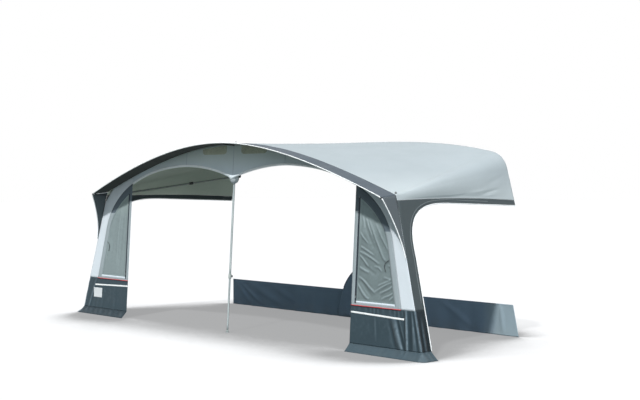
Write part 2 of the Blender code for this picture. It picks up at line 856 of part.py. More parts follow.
def build_leg_panel(name, side, material):
    """The pale panel between the window frame, the arch seam and the leg's corner."""
    arch = doorway()
    foot = SKIRT_TOP + GAP
    inner = [(LEG_INNER, hem_height(LEG_INNER))] + arch.run(LEG_INNER + ZIP_TAPE_WIDTH, FRAME_ARCH_STEPS)
    inner += [(arch.half_at(foot), foot)]
    notch_x = CORNER_HALF - STRUT_NOTCH
    notch_height = CORNER_HEIGHT - STRUT_NOTCH
    stations = [x for x in arch_stations() if LEG_INNER <= x < notch_x] + [notch_x]
    outer = [(x, valance_top(x)) for x in stations]
    steps = len(inner) - len(outer) - 1
    for k in range(steps + 1):
        height = lerp(notch_height, foot, k / steps)
        outer.append((corner_x(height), height))
    loops = [[on_front(side * x, h) for x, h in line] for line in (inner, outer)]
    loops = pull_in(loops, (True, False))
    sheet(name, loops, offset_grid(loops, Vector((0, CLOTH, 0))), material)


def skirt_points(side, height, fold, flare=0.0):
    """The leg's outline in plan at a height, from its inner edge round the corner and back."""
    front = []
    corner = corner_x(height)
    y = front_y(height)
    for k in range(SKIRT_FRONT_STEPS + 1):
        share = k / SKIRT_FRONT_STEPS
        depth = fold * share * (1 - cos(2 * pi * share * SKIRT_FOLDS)) / 2
        front.append(at(side * lerp(LEG_INNER, corner, share), y + depth - flare, height))
    back = []
    for k in range(1, SKIRT_SIDE_STEPS + 1):
        share = k / SKIRT_SIDE_STEPS
        depth = fold * (1 - cos(2 * pi * share)) / 2
        point = on_side(side, y + RETURN_WIDTH * share, height)
        back.append(point + Vector((side * (flare - depth), 0, 0)))
    front[-1].x += side * flare
    return front + back


def wrap_inward(points, side):
    """The same plan line moved in by the cloth's thickness."""
    moved = []
    for k, point in enumerate(points):
        back = CLOTH if k <= SKIRT_FRONT_STEPS else 0
        inward = CLOTH if k >= SKIRT_FRONT_STEPS else 0
        moved.append(point + Vector((-side * inward, back, 0)))
    return moved


def build_skirt(name, side, material):
    rows = []
    for k in range(SKIRT_ROWS + 1):
        share = k / SKIRT_ROWS
        height = lerp(SKIRT_TOP, MUD_FLAP_HEIGHT, share)
        rows.append(skirt_points(side, height, SKIRT_FOLD * min(share / SKIRT_FOLD_START_SHARE, 1)))
    sheet(name, rows, [wrap_inward(row, side) for row in rows], material)


def build_mud_flap(name, side, material):
    top = skirt_points(side, MUD_FLAP_HEIGHT - GAP, SKIRT_FOLD)
    foot = skirt_points(side, 0, SKIRT_FOLD, MUD_FLAP_FLARE)
    rows = [top, [lerp(a, b, 1 / 2) for a, b in zip(top, foot)], foot]
    sheet(name, rows, [wrap_inward(row, side) for row in rows], material)


def side_opening_line():
    """(y, height) along the side opening's edge: back along the top, round the bend and down."""
    rear = -rear_edge()
    rear_top = ROOF_EDGE_REAR - SIDE_BAND_WIDTH
    top = rear_top + SIDE_OPENING_RISE
    points = []
    for k in range(SIDE_TOP_STEPS):
        share = k / SIDE_TOP_STEPS
        points.append((lerp(rear, -SIDE_OPENING_BEND, share), lerp(rear_top, top, share)))
    spring_y = front_y(SIDE_OPENING_SPRING) + RETURN_WIDTH
    for k in range(SIDE_BEND_STEPS + 1):
        angle = pi / 2 * k / SIDE_BEND_STEPS
        out = max(sin(angle), 0) ** (2 / SIDE_OPENING_POWER)
        up = max(cos(angle), 0) ** (2 / SIDE_OPENING_POWER)
        height = lerp(SIDE_OPENING_SPRING, top, up)
        points.append((lerp(-SIDE_OPENING_BEND, spring_y, out), height))
    foot = SKIRT_TOP + GAP
    points.append((front_y(foot) + RETURN_WIDTH, foot))
    return points


def build_side_panel(name, side, material):
    """The return behind the leg's corner and the band under the roof's edge, in one piece."""
    inner = [on_side(side, y, height) for y, height in side_opening_line()]
    index = 0 if side < 0 else -1
    below = Vector((0, 0, GAP + CLOTH * side_lean()))
    outer = [roof_row(share)[index] - below for share in roof_shares()]
    count = len(inner) - len(outer)
    first = height_of(outer[-1])
    behind = CLOTH + GAP + GAP
    outer[-1] = on_side(side, front_y(first) + behind, first)
    for k in range(1, count + 1):
        height = lerp(first, SKIRT_TOP + GAP, k / count)
        outer.append(on_side(side, front_y(height) + behind, height))
    loops = [outer, inner]
    sheet(name, loops, offset_grid(loops, Vector((-side * CLOTH, 0, 0))), material)


def build_opening_piping(name, side, material):
    line = side_opening_line()
    foot = MUD_FLAP_HEIGHT + PIPING_RADIUS
    line.append((front_y(foot) + RETURN_WIDTH, foot))
    points = []
    for k, (y, height) in enumerate(line):
        before = line[max(k - 1, 0)]
        after = line[min(k + 1, len(line) - 1)]
        run_y, run_height = after[0] - before[0], after[1] - before[1]
        length = hypot(run_y, run_height)
        step = PIPING_RADIUS + GAP + GAP
        centre_y = y - run_height / length * step
        centre_height = height + run_y / length * step
        points.append(on_side(side, centre_y, centre_height) + Vector((-side * CLOTH / 2, 0, 0)))
    points[0].y -= PIPING_RADIUS
    tube(name, points, PIPING_RADIUS, material)


def build_red_piping(name, side, material):
    height = SKIRT_TOP + GAP
    ends = (LEG_INNER, doorway().half_at(height))
    forward = RED_PIPING_RADIUS + GAP
    tube(name, [on_front(side * x, height, forward) for x in ends], RED_PIPING_RADIUS, material)


def build_label(material):
    outer = LABEL_INSET - corner_x(LABEL_TOP)
    inner = outer + LABEL_WIDTH
    outline = [(inner, LABEL_FOOT), (outer, LABEL_FOOT), (outer, LABEL_TOP), (inner, LABEL_TOP)]
    front_plate("label_patch", outline, GAP, LABEL_THICKNESS, material)


def build_tie(name, side, material):
    """A short elastic loop that hangs at the window's outer edge to hold the rolled curtain."""
    top_x = window().half_at(TIE_HEIGHT) - TIE_RADIUS
    shape_shares = ((0.0, 0.0), (0.2, 0.12), (0.42, 0.28), (0.55, 0.52), (0.52, 0.78), (0.42, 1.0))
    forward = TIE_RADIUS + GAP
    points = [on_front(side * (top_x - out * TIE_LENGTH), TIE_HEIGHT - down * TIE_LENGTH, forward)
              for out, down in shape_shares]
    tube(name, points, TIE_RADIUS, material, resolution=2)


def build_draught_skirt(material):
    steps = round((DRAUGHT_HALF + DRAUGHT_HALF) / DRAUGHT_FOLD_PITCH) * FOLD_STEPS
    rows = []
    for k in range(DRAUGHT_ROWS + 1):
        share = k / DRAUGHT_ROWS
        row = []
        for n in range(steps + 1):
            depth = DRAUGHT_FOLD * share * (1 - cos(2 * pi * n / FOLD_STEPS)) / 2
            x = lerp(-DRAUGHT_HALF, DRAUGHT_HALF, n / steps)
            row.append(at(x, -CLOTH - depth, lerp(DRAUGHT_HEIGHT, 0, share)))
        rows.append(row)
    sheet("draught_skirt", rows, offset_grid(rows, Vector((0, CLOTH, 0))), material)


def build_wheel_cover(material):
    y = -(CLOTH + DRAUGHT_FOLD + GAP)
    foot = []
    top = []
    for k in range(WHEEL_STEPS + 1):
        angle = lerp(pi, 0, (k + 1 / 2) / (WHEEL_STEPS + 1))
        x = WHEEL_COVER_X + WHEEL_COVER_HALF * cos(angle)
        foot.append(at(x, y, 0))
        top.append(at(x, y, WHEEL_COVER_HEIGHT * sin(angle)))
    rows = [foot, top]
    sheet("wheel_cover", offset_grid(rows, Vector((0, -CLOTH, 0))), rows, material)


# The pole frame


def pole_y(height):
    return front_y(height) + FRONT_POLE_INSET


def corner_hub_centre(side):
    height = CORNER_HEIGHT - HUB_DROP
    return at(side * (CORNER_HALF - HUB_INSET), front_y(height) + HUB_INSET, height)


def middle_hub_centre():
    height = ARCH_HEIGHT - ARCH_POLE_DROP - POLE_RADIUS / 2
    return at(0, pole_y(height), height)


def arch_pole_points(side):
    """The pole's centre line from the middle hub to the corner hub."""
    middle = middle_hub_centre()
    corner = corner_hub_centre(side)
    line = []
    for x in arch_stations()[1:-1]:
        height = under_arch(x, ARCH_POLE_DROP)
        line.append(at(side * x, pole_y(height), height))
    line = [p for p in line if (p - middle).length > SOCKET_LENGTH + SOCKET_LENGTH]
    line = [p for p in line if (p - corner).length > SOCKET_LENGTH + SOCKET_LENGTH]
    start = middle + (line[0] - middle).normalized() * (SOCKET_LENGTH + GAP)
    end = corner + (line[-1] - corner).normalized() * (SOCKET_LENGTH + GAP)
    return [start] + line + [end]


def foot_point(side):
    if side == 0:
        return at(0, pole_y(0), 0)
    return at(side * (LEG_FOOT_HALF - FOOT_INSET), front_y(0) + FOOT_INSET, 0)


def visor_strut_end(side):
    x = side * (CORNER_HALF - STRUT_END_INSET)
    below = square_drop(x, CLOTH + GAP + STRUT_RADIUS + STRUT_RADIUS / 2)
    return visor_point(x, 1) + Vector((0, STRUT_END_INSET, -below))


def rafter_end(side):
    height = RAIL_HEIGHT - RAFTER_REAR_DROP
    return at(side * (side_x(0, height) - RAFTER_REAR_INSET), -PAD_THICKNESS, height)


def build_hub(name, centre, targets, spigot_top, material):
    """A ball with a socket towards each pole and a spigot through the roof."""
    bm = bmesh.new()
    bmesh.ops.create_uvsphere(bm, u_segments=POLE_SIDES, v_segments=POLE_SIDES // 2, radius=HUB_RADIUS)
    hub = add_mesh(name, bm, material)
    hub.location = centre
    arms = []
    for k, (target, radius) in enumerate(targets):
        reach = centre + (target - centre).normalized() * SOCKET_LENGTH
        arms.append(rod(f"{name}_socket_{k}", centre, reach, radius, material))
    arms.append(rod(f"{name}_spigot", centre, spigot_top, SPIGOT_RADIUS, material))
    return join(hub, *arms)


def build_hubs(materials, valance):
    middle = middle_hub_centre()
    ends = {side: arch_pole_points(side) for side in (-1, 1)}
    targets = [(ends[-1][1], SOCKET_RADIUS), (ends[1][1], SOCKET_RADIUS), (foot_point(0), SOCKET_RADIUS)]
    top = middle + Vector((0, 0, height_above_roof(middle)))
    build_hub("centre_joint", middle, targets, top, materials["fitting"])
    pierce("roof_centre", middle, top, materials["guide"])
    for name, side in SIDES:
        centre = corner_hub_centre(side)
        targets = [(ends[side][-2], SOCKET_RADIUS), (foot_point(side), SOCKET_RADIUS),
                   (rafter_end(side), SOCKET_RADIUS)]
        top = centre + Vector((0, 0, height_above_roof(centre)))
        build_hub("corner_joint_" + name, centre, targets, top, materials["fitting"])
        pierce("roof_" + name, centre, top, materials["guide"])
        swept_pole("arch_pole_" + name, ends[side], POLE_RADIUS, POLE_BORE, materials["pole"])
        start = centre + (visor_strut_end(side) - centre).normalized() * (HUB_RADIUS + GAP)
        rod("visor_strut_" + name, start, visor_strut_end(side), STRUT_RADIUS, materials["fitting"])
    edge = visor_point(0, 1)
    end = edge + Vector((0, STRUT_END_INSET, -(CLOTH + GAP + GAP + STRUT_RADIUS)))
    start = middle + (end - middle).normalized() * (HUB_RADIUS + GAP)
    rod("visor_strut_centre", start, end, STRUT_RADIUS, materials["fitting"])
    cutter = rod("strut_cutter", start, end, STRUT_RADIUS + GAP + GAP, materials["guide"])
    cut(valance, cutter)


def height_above_roof(point):
    return seam_height(point.x) - height_of(point) + SPIGOT_REACH


def pierce(roof_name, start, end, guide):
    """An eyelet in the roof for a spigot."""
    cutter = rod(roof_name + "_eyelet", start, end, SPIGOT_RADIUS + GAP, guide)
    cut(bpy.data.objects[roof_name], cutter)


def outer_tube(name, start, end, facing, material):
    """An outer tube from its open clamp end to the socket it is held in."""
    length = (end - start).length
    taper = CLAMP_RADIUS - POLE_RADIUS
    profile = [(POLE_BORE, 0), (CLAMP_RADIUS, 0), (CLAMP_RADIUS, CLAMP_LENGTH),
               (POLE_RADIUS, CLAMP_LENGTH + taper), (POLE_RADIUS, length), (POLE_BORE, length)]
    return aim(turned(name, profile, material, hollow=True), start, end - start, facing)


def inner_tube(name, start, end, facing, material):
    length = (end - start).length
    profile = [(INNER_POLE_BORE, 0), (INNER_POLE_RADIUS, 0), (INNER_POLE_RADIUS, length),
               (INNER_POLE_BORE, length)]
    return aim(turned(name, profile, material, hollow=True), start, end - start, facing)


def build_knob(name, clamp, direction, facing, material):
    """A lobed clamp knob with its origin on the axis that it screws along."""
    flat = CLAMP_RADIUS * cos(pi / POLE_SIDES) + GAP
    out = (facing - direction * facing.dot(direction)).normalized()
    along = KNOB_STEM_LENGTH
    profile = [(0, 0, False), (KNOB_STEM_RADIUS, 0, False), (KNOB_STEM_RADIUS, along, False),
               (KNOB_RADIUS, along, True), (KNOB_RADIUS, along + KNOB_LENGTH, True),
               (0, along + KNOB_LENGTH, False)]
    knob = turned(name, profile, material, lobe_share=KNOB_LOBE_SHARE)
    aim(knob, clamp + out * flat, out, direction)


def build_upright(name, side, hub, material, fitting):
    foot = foot_point(side)
    top = hub + (foot - hub).normalized() * (SOCKET_LENGTH + GAP)
    direction = (hub - foot).normalized()
    clamp = foot + direction * (CLAMP_HEIGHT - CLAMP_LENGTH / 2)
    facing = Vector((-side, 0, 0)) if side else Vector((0, 1, 0))
    outer_tube("upright_" + name, clamp, top, facing, material)
    lower_start = foot + direction * FOOT_THICKNESS / 2
    lower_end = clamp + direction * POLE_OVERLAP
    lower = inner_tube("upright_foot_" + name, lower_start, lower_end, facing, material)
    up = Vector((0, 0, 1))
    plate = rod("foot_plate_" + name, foot, foot + up * FOOT_THICKNESS, FOOT_RADIUS, fitting)
    join(lower, plate)
    build_knob("clamp_knob_" + name, clamp + direction * CLAMP_LENGTH / 2, direction, facing, fitting)


def build_rafter(name, side, material, fitting):
    hub = corner_hub_centre(side)
    end = rafter_end(side)
    direction = (end - hub).normalized()
    start = hub + direction * (SOCKET_LENGTH + GAP)
    clamp = lerp(hub, end, RAFTER_CLAMP_SHARE)
    up = Vector((0, 0, 1))
    outer_tube("rafter_" + name, clamp, start, up, material)
    inner_start = end + direction * PAD_THICKNESS / 2
    inner = inner_tube("rafter_end_" + name, inner_start, clamp - direction * POLE_OVERLAP, up, material)
    back = Vector((end.x, 0, end.z))
    front = Vector((end.x, -PAD_THICKNESS - PAD_THICKNESS / 2, end.z))
    pad = rod("wall_pad_" + name, front, back, PAD_RADIUS, fitting)
    join(inner, pad)


def build_cup(material, guide):
    """The white cup round the middle pole, with wings sewn over the ends of the hem."""
    foot_height = ARCH_HEIGHT - CUP_FOOT_DROP
    top_height = foot_height + CUP_LENGTH
    foot = at(0, pole_y(foot_height), foot_height)
    top = at(0, pole_y(top_height), top_height)
    length = (top - foot).length
    bore = POLE_RADIUS + GAP
    profile = [(bore, 0), (CUP_FOOT_RADIUS, 0), (CUP_RADIUS * CUP_BELLY_SHARE, length / 2),
               (CUP_RADIUS, length), (bore, length)]
    cup = turned("centre_cup", profile, material, hollow=True)
    aim(cup, foot, top - foot, Vector((0, 1, 0)))
    wing_shares = ((-1, 1), (-0.55, 0.74), (-0.24, 0.62), (0.24, 0.62), (0.55, 0.74), (1, 1),
                   (0.6, 0.52), (0.2, 0.1), (-0.2, 0.1), (-0.6, 0.52))
    wing_top = ARCH_HEIGHT - CUP_WING_DROP
    outline = [(x * CUP_HALF, lerp(foot_height, wing_top, up)) for x, up in wing_shares]
    wing = front_plate("cup_wing", outline, HEM_RADIUS + GAP, CUP_PLATE, guide)
    return join(cup, wing)


def build_all():
    clear_scene()
    materials = {
        "roof": make_material("roof_cloth", PALE_GREY, 0.75),
        "band": make_material("band_cloth", MID_GREY, 0.75),
        "dark": make_material("skirt_cloth", DARK_GREY, 0.75),
        "white": make_material("white_binding", WHITE, 0.5),
        "panel": make_material("white_panel", WHITE, 0.7),
        "strip": make_material("strip_cloth", STRIP_GREY, 0.7),
        "curtain": make_material("curtain_cloth", CURTAIN_GREY, 0.7),
        "mesh": make_material("vent_mesh", MESH_BROWN, 0.9),
        "red": make_material("red_piping", RED, 0.5),
        "zip": make_material("zip_tape", BLACK, 0.6),
        "label": make_material("label_patch", WHITE, 0.6),
        "draught": make_material("draught_cloth", NAVY, 0.7),
        "pole": make_material("pole_steel", STEEL, 0.35, 1.0),
        "fitting": make_material("black_fitting", BLACK, 0.5),
        "guide": make_material("guide", RED, 0.5),
    }
    build_roof(materials)
    build_visor(materials["band"])
    build_visor_piping(materials["white"])
    build_rail_bead(materials["white"])
    valance = build_valance(materials["panel"])
    tube("valance_hem", hem_points(), HEM_RADIUS, materials["strip"])
    build_vents(valance, materials["mesh"], materials["guide"])
    build_hubs(materials, valance)
    build_cup(materials["white"], materials["guide"])
    build_upright("centre", 0, middle_hub_centre(), materials["pole"], materials["fitting"])
    for name, side in SIDES:
        build_gusset("gusset_" + name, side, materials["band"])
        build_leg_panel("leg_panel_" + name, side, materials["panel"])
        build_window_frame("window_frame_" + name, side, materials["strip"])
        build_curtain("curtain_" + name, side, materials["curtain"])
        build_zip(name, side, materials["zip"], materials["fitting"])
        build_skirt("skirt_" + name, side, materials["dark"])
        build_mud_flap("mud_flap_" + name, side, materials["dark"])
        build_side_panel("side_panel_" + name, side, materials["band"])
        build_opening_piping("opening_piping_" + name, side, materials["white"])
        build_red_piping("red_piping_" + name, side, materials["red"])
        build_tie("curtain_tie_" + name, side, materials["zip"])
        build_upright(name, side, corner_hub_centre(side), materials["pole"], materials["fitting"])
        build_rafter(name, side, materials["pole"], materials["fitting"])
    build_label(materials["label"])
    build_draught_skirt(materials["draught"])
    build_wheel_cover(materials["draught"])


build_all()
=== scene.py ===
"""Looks of the porch awning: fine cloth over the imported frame, materials, light and camera.

+X runs along the caravan, -Y to the front, +Z up, in metres. Heights are above the ground.
"""

from math import cos, exp, hypot, pi, radians, sin, sqrt

import bmesh
import bpy
import numpy as np
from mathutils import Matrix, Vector, noise


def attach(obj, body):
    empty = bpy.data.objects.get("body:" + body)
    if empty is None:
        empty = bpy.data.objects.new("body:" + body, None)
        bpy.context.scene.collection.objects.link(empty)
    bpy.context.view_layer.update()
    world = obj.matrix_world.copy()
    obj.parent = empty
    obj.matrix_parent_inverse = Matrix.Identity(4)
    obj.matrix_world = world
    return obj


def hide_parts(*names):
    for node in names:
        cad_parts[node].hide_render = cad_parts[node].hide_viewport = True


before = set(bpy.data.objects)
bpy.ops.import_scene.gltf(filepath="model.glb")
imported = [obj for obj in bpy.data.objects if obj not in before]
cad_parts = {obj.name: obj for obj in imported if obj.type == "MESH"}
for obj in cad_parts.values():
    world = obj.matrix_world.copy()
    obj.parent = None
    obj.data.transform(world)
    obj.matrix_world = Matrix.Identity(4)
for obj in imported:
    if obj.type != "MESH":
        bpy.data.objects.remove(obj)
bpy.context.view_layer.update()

BODY = "awning"
SIDES = (("left", -1), ("right", 1))
FRONT, UP = (0, -1, 0), (0, 0, 1)

# The same sizes as in the part's source
RAIL_HEIGHT = 2.52
RAIL_CORNER_HEIGHT = 2.31
RAIL_CORNER_BLEND = 0.195
RAIL_END_HALF = 2.84
RAIL_END_HEIGHT = 1.65
BEAD_RADIUS = 0.005
ARCH_HEIGHT = 2.46
CORNER_HEIGHT = 1.81
FOOT_DEPTH = 2.41
TOP_DEPTH = 2.26
CORNER_HALF = 2.92
LEG_FOOT_HALF = 3.43
ARCH_ROUNDING = 2.2
ROOF_EDGE_REAR = 1.725
ROOF_EDGE_FRONT = 1.75
ROOF_EDGE_BOW = 0.025
ROOF_SEAM = 1.013
VISOR_DEPTH = 0.3
VISOR_END_DEPTH = 0.25
VISOR_END_DROP = 0.028
GUSSET_FOOT = 1.11
GUSSET_FOOT_WIDTH = 0.008
PEAK_HALF = 1.05
VALANCE_MIDDLE = 2.02
OPENING_TOP = 2.185
OPENING_SPRING = 1.25
LEG_INNER = 2.28
WINDOW_TOP = 2.004
WINDOW_FOOT = 0.605
ZIP_STRIP = 0.055
ZIP_TAPE = 0.025
SKIRT_TOP = 0.532
FLAP_TOP = 0.09
FLAP_FLARE = 0.08
RETURN_WIDTH = 0.165
SIDE_TOP_REAR = 1.664
SIDE_TOP = 1.712
SIDE_BEND_Y = 1.4
SIDE_SPRING = 1.1
VENT_INNER = 0.15
VENT_OUTER = 0.66
VENT_FOOT = 2.32
VENT_CORNER = 0.06
DRAUGHT_HALF = 2.8
DRAUGHT_HEIGHT = 0.4
WHEEL_X = 0.25
WHEEL_HALF = 0.6
WHEEL_HEIGHT = 0.77

# Sizes of the scene alone
CLOTH = 0.0016
# How far a cloth stays inside the line it is sewn to
CLOTH_INSET = 0.0026
PIPING = 0.006
SEAM = 0.0012
PANE_FOOT = 0.557
# How far a cloth's edge reaches past the one it meets
LAP = 0.0004
# How far in front of the caravan the roof and the sides begin
WALL_EDGE = 0.0093
CURTAIN_FOOT = PANE_FOOT + 0.02
SKIRT_SEAM = SKIRT_TOP + LAP
ZIP_NEAR = LEG_INNER + ZIP_STRIP
ZIP_FAR = ZIP_NEAR + ZIP_TAPE
GUSSET_TOP = CORNER_HEIGHT - 0.003
GUSSET_EDGE_TOP = GUSSET_TOP - VISOR_END_DROP
LEG_LEAN = (LEG_FOOT_HALF - CORNER_HALF) / CORNER_HEIGHT
ROOF_STEPS, ROOF_BEND, ROOF_SIDE = 64, 14, 34
ROOF_FIRST, ROOF_LAST = WALL_EDGE / TOP_DEPTH, 1 - 0.0003 / TOP_DEPTH


def lerp(a, b, t):
    return a + (b - a) * t


def spread(a, b, steps):
    """Evenly spaced values or points from a to b."""
    return [lerp(a, b, k / steps) for k in range(steps + 1)]


def smooth(t):
    t = min(max(t, 0.0), 1.0)
    return t * t * (3 - 2 * t)


def inwards(t, sharp):
    """0 at both ends of 0 to 1, and 1 a little way in."""
    return smooth(min(t, 1 - t) * sharp)


def slope_of(line, at_x, gap=0.001):
    return (line(at_x + gap) - line(at_x - gap)) / (2 * gap)


# The surfaces that the cloth lies in


def at(x, y, h):
    return Vector((x, y, h - RAIL_HEIGHT))


def height(p):
    return p.z + RAIL_HEIGHT


def front_y(h):
    return -lerp(FOOT_DEPTH, TOP_DEPTH, h / ARCH_HEIGHT)


def on_front(x, h, forward=0.0):
    return at(x, front_y(h) - forward, h)


def corner_x(h):
    return lerp(CORNER_HALF, LEG_FOOT_HALF, (CORNER_HEIGHT - h) / CORNER_HEIGHT)


def side_x(y, h):
    taper = (RAIL_END_HALF - corner_x(RAIL_END_HEIGHT)) / -front_y(RAIL_END_HEIGHT)
    return corner_x(h) + (y - front_y(h)) * taper


def on_side(side, y, h, out=0.0):
    return at(side * (side_x(y, h) + out), y, h)


def arch_height(x):
    rise = sqrt(1 + (x / ARCH_ROUNDING) ** 2) - 1
    full = sqrt(1 + (CORNER_HALF / ARCH_ROUNDING) ** 2) - 1
    return lerp(ARCH_HEIGHT, CORNER_HEIGHT, rise / full)


def under_arch(x, below):
    return arch_height(x) - below * hypot(1, slope_of(arch_height, x))


def valance_top(x):
    return under_arch(x, CLOTH_INSET)


def evenly(points, steps):
    """The same line with its points at even distances."""
    lengths = [0.0]
    for a, b in zip(points, points[1:]):
        lengths.append(lengths[-1] + sqrt(sum((p - q) ** 2 for p, q in zip(a, b))))
    result = []
    index = 0
    for want in (lengths[-1] * k / steps for k in range(steps + 1)):
        while index < len(points) - 2 and lengths[index + 1] < want:
            index += 1
        span = lengths[index + 1] - lengths[index]
        share = (want - lengths[index]) / span if span else 0
        result.append(tuple(lerp(p, q, share) for p, q in zip(points[index], points[index + 1])))
    return result


class Arch:
    """A quarter of a rounded arch with a straight leaning leg below its spring."""

    def __init__(self, centre, top, insets, foot, power):
        spring_half, foot_half = (corner_x(h) - inset for h, inset in zip((OPENING_SPRING, foot), insets))
        self.centre = centre
        self.rise = top - OPENING_SPRING
        self.reach = spring_half - centre
        self.lean = (foot_half - spring_half) / (OPENING_SPRING - foot)
        self.power = power

    def point(self, angle):
        up = max(cos(angle), 0) ** (2 / self.power) * self.rise
        out = max(sin(angle), 0) ** (2 / self.power) * self.reach
        return self.centre + out - self.lean * up, OPENING_SPRING + up

    def angle_at(self, x):
        low, high = 0.0, pi / 2
        for _ in range(40):
            middle = (low + high) / 2
            if self.point(middle)[0] < x:
                low = middle
            else:
                high = middle
        return low

    def height_at(self, x):
        return self.point(self.angle_at(x))[1]

    def half_at(self, h):
        return self.centre + self.reach + self.lean * (OPENING_SPRING - h)

    def run(self, start_x, foot, steps):
        """Points from start_x round the arch and down its leg to the foot, evenly spaced."""
        points = [self.point(angle) for angle in spread(self.angle_at(start_x), pi / 2, 60)]
        points += [(self.half_at(h), h) for h in spread(OPENING_SPRING, foot, 30)[1:]]
        return evenly(points, steps)


DOORWAY = Arch(PEAK_HALF, OPENING_TOP, (0.176, 0.214), SKIRT_TOP, 2.3)
WINDOW = Arch(1.6, WINDOW_TOP, (0.258, 0.2975), WINDOW_FOOT, 2)


def hem_height(x):
    x = abs(x)
    if x > PEAK_HALF:
        return DOORWAY.height_at(x)
    return lerp(DOORWAY.height_at(PEAK_HALF), VALANCE_MIDDLE, (1 - x / PEAK_HALF) ** 2)


# Materials


def colour(r, g, b):
    """A colour as written in 0 to 255, in linear light."""
    def linear(c):
        c /= 255
        return c / 12.92 if c <= 0.04045 else ((c + 0.055) / 1.055) ** 2.4
    return (linear(r), linear(g), linear(b), 1.0)


BLACK, WHITE = (0, 0, 0, 1), (1, 1, 1, 1)


class Nodes:
    """A node tree built in short lines. A value is a number, a colour or another node's output."""

    def __init__(self, tree):
        self.tree = tree

    def feed(self, slot, value):
        if isinstance(value, bpy.types.NodeSocket):
            self.tree.links.new(value, slot)
        elif value is not None:
            slot.default_value = value

    def node(self, kind, inputs=(), **settings):
        made = self.tree.nodes.new("ShaderNode" + kind)
        for key, value in settings.items():
            setattr(made, key, value)
        for key, value in dict(inputs).items():
            self.feed(made.inputs[key], value)
        return made

    def math(self, operation, *values):
        return self.node("Math", enumerate(values), operation=operation).outputs[0]

    def times(self, first, *others):
        for other in others:
            first = self.math("MULTIPLY", first, other)
        return first

    def ramp(self, value, low, high, start=0.0, end=1.0):
        inputs = {"Value": value, "To Min": low, "To Max": high, "From Min": start, "From Max": end}
        return self.node("MapRange", inputs).outputs["Result"]

    def mix(self, factor, first, second, blend="MIX"):
        return self.node("Mix", {0: factor, 6: first, 7: second}, data_type="RGBA", blend_type=blend).outputs[2]

    def tint(self, tone, share, low, high):
        """The tone times a colour that goes from low to high."""
        return self.mix(1.0, tone, self.mix(share, low, high), "MULTIPLY")

    def pictured(self):
        """1 for what the camera sees, also in a reflection."""
        path = self.node("LightPath").outputs
        return self.math("MAXIMUM", path["Is Camera Ray"], path["Is Glossy Ray"])


class Finish(Nodes):
    """A material round the Principled shader."""

    def __init__(self, name):
        self.material = bpy.data.materials.new(name)
        self.material.use_nodes = True
        super().__init__(self.material.node_tree)
        self.shader = self.tree.nodes["Principled BSDF"]
        self.place = self.node("TexCoord").outputs["Object"]

    def noise(self, scale, detail=3.0, stretch=None):
        place = self.node("Mapping", {"Scale": stretch, "Vector": self.place}).outputs[0] if stretch else self.place
        return self.node("TexNoise", {"Scale": scale, "Detail": detail, "Vector": place}).outputs["Fac"]

    def varied(self, scale, low, high, detail=3.0):
        """Soft patches between two values."""
        return self.ramp(self.noise(scale, detail), low, high, 0.3, 0.7)

    def axis(self, name, vector=None):
        return self.node("SeparateXYZ", {"Vector": vector or self.place}).outputs[name]

    def layer(self, name):
        return self.node("UVMap", uv_map=name).outputs["UV"]

    def bump(self, relief, distance, strength=1.0, before=None):
        inputs = {"Distance": distance, "Strength": strength, "Height": relief, "Normal": before}
        return self.node("Bump", inputs).outputs["Normal"]

    def scaled(self, base, factor):
        return self.node("VectorMath", {0: base[:3], "Scale": factor}, operation="SCALE").outputs["Vector"]

    def made(self, **values):
        """The material, with these values on the shader's sockets."""
        for key, value in values.items():
            self.feed(self.shader.inputs[key.replace("_", " ")], value)
        return self.material


def weave(finish, pitch):
    """Crossed threads in the cloth's own coordinates, in metres."""
    inputs = {"Scale": 2 * pi / (20 * pitch), "Distortion": 0.4, "Detail": 1.0, "Vector": finish.layer("cloth")}
    threads = [finish.node("TexWave", inputs, bands_direction=axis).outputs["Fac"] for axis in "XY"]
    return finish.math("MAXIMUM", *threads)


STITCH_PITCH, STITCH_WIDTH = 0.006, 0.0012


def stitch_line(finish, offset):
    """1 on a dashed line this far in from the piece's long edges, and how far in each point is."""
    hem = finish.layer("hem")
    near = finish.math("MINIMUM", finish.axis("X", hem), finish.axis("Y", hem))
    away = finish.math("ABSOLUTE", finish.math("SUBTRACT", near, offset))
    dash = finish.math("FRACT", finish.times(finish.axis("X", finish.layer("cloth")), 1 / STITCH_PITCH))
    return finish.times(finish.math("LESS_THAN", away, STITCH_WIDTH), finish.math("LESS_THAN", dash, 0.7)), near


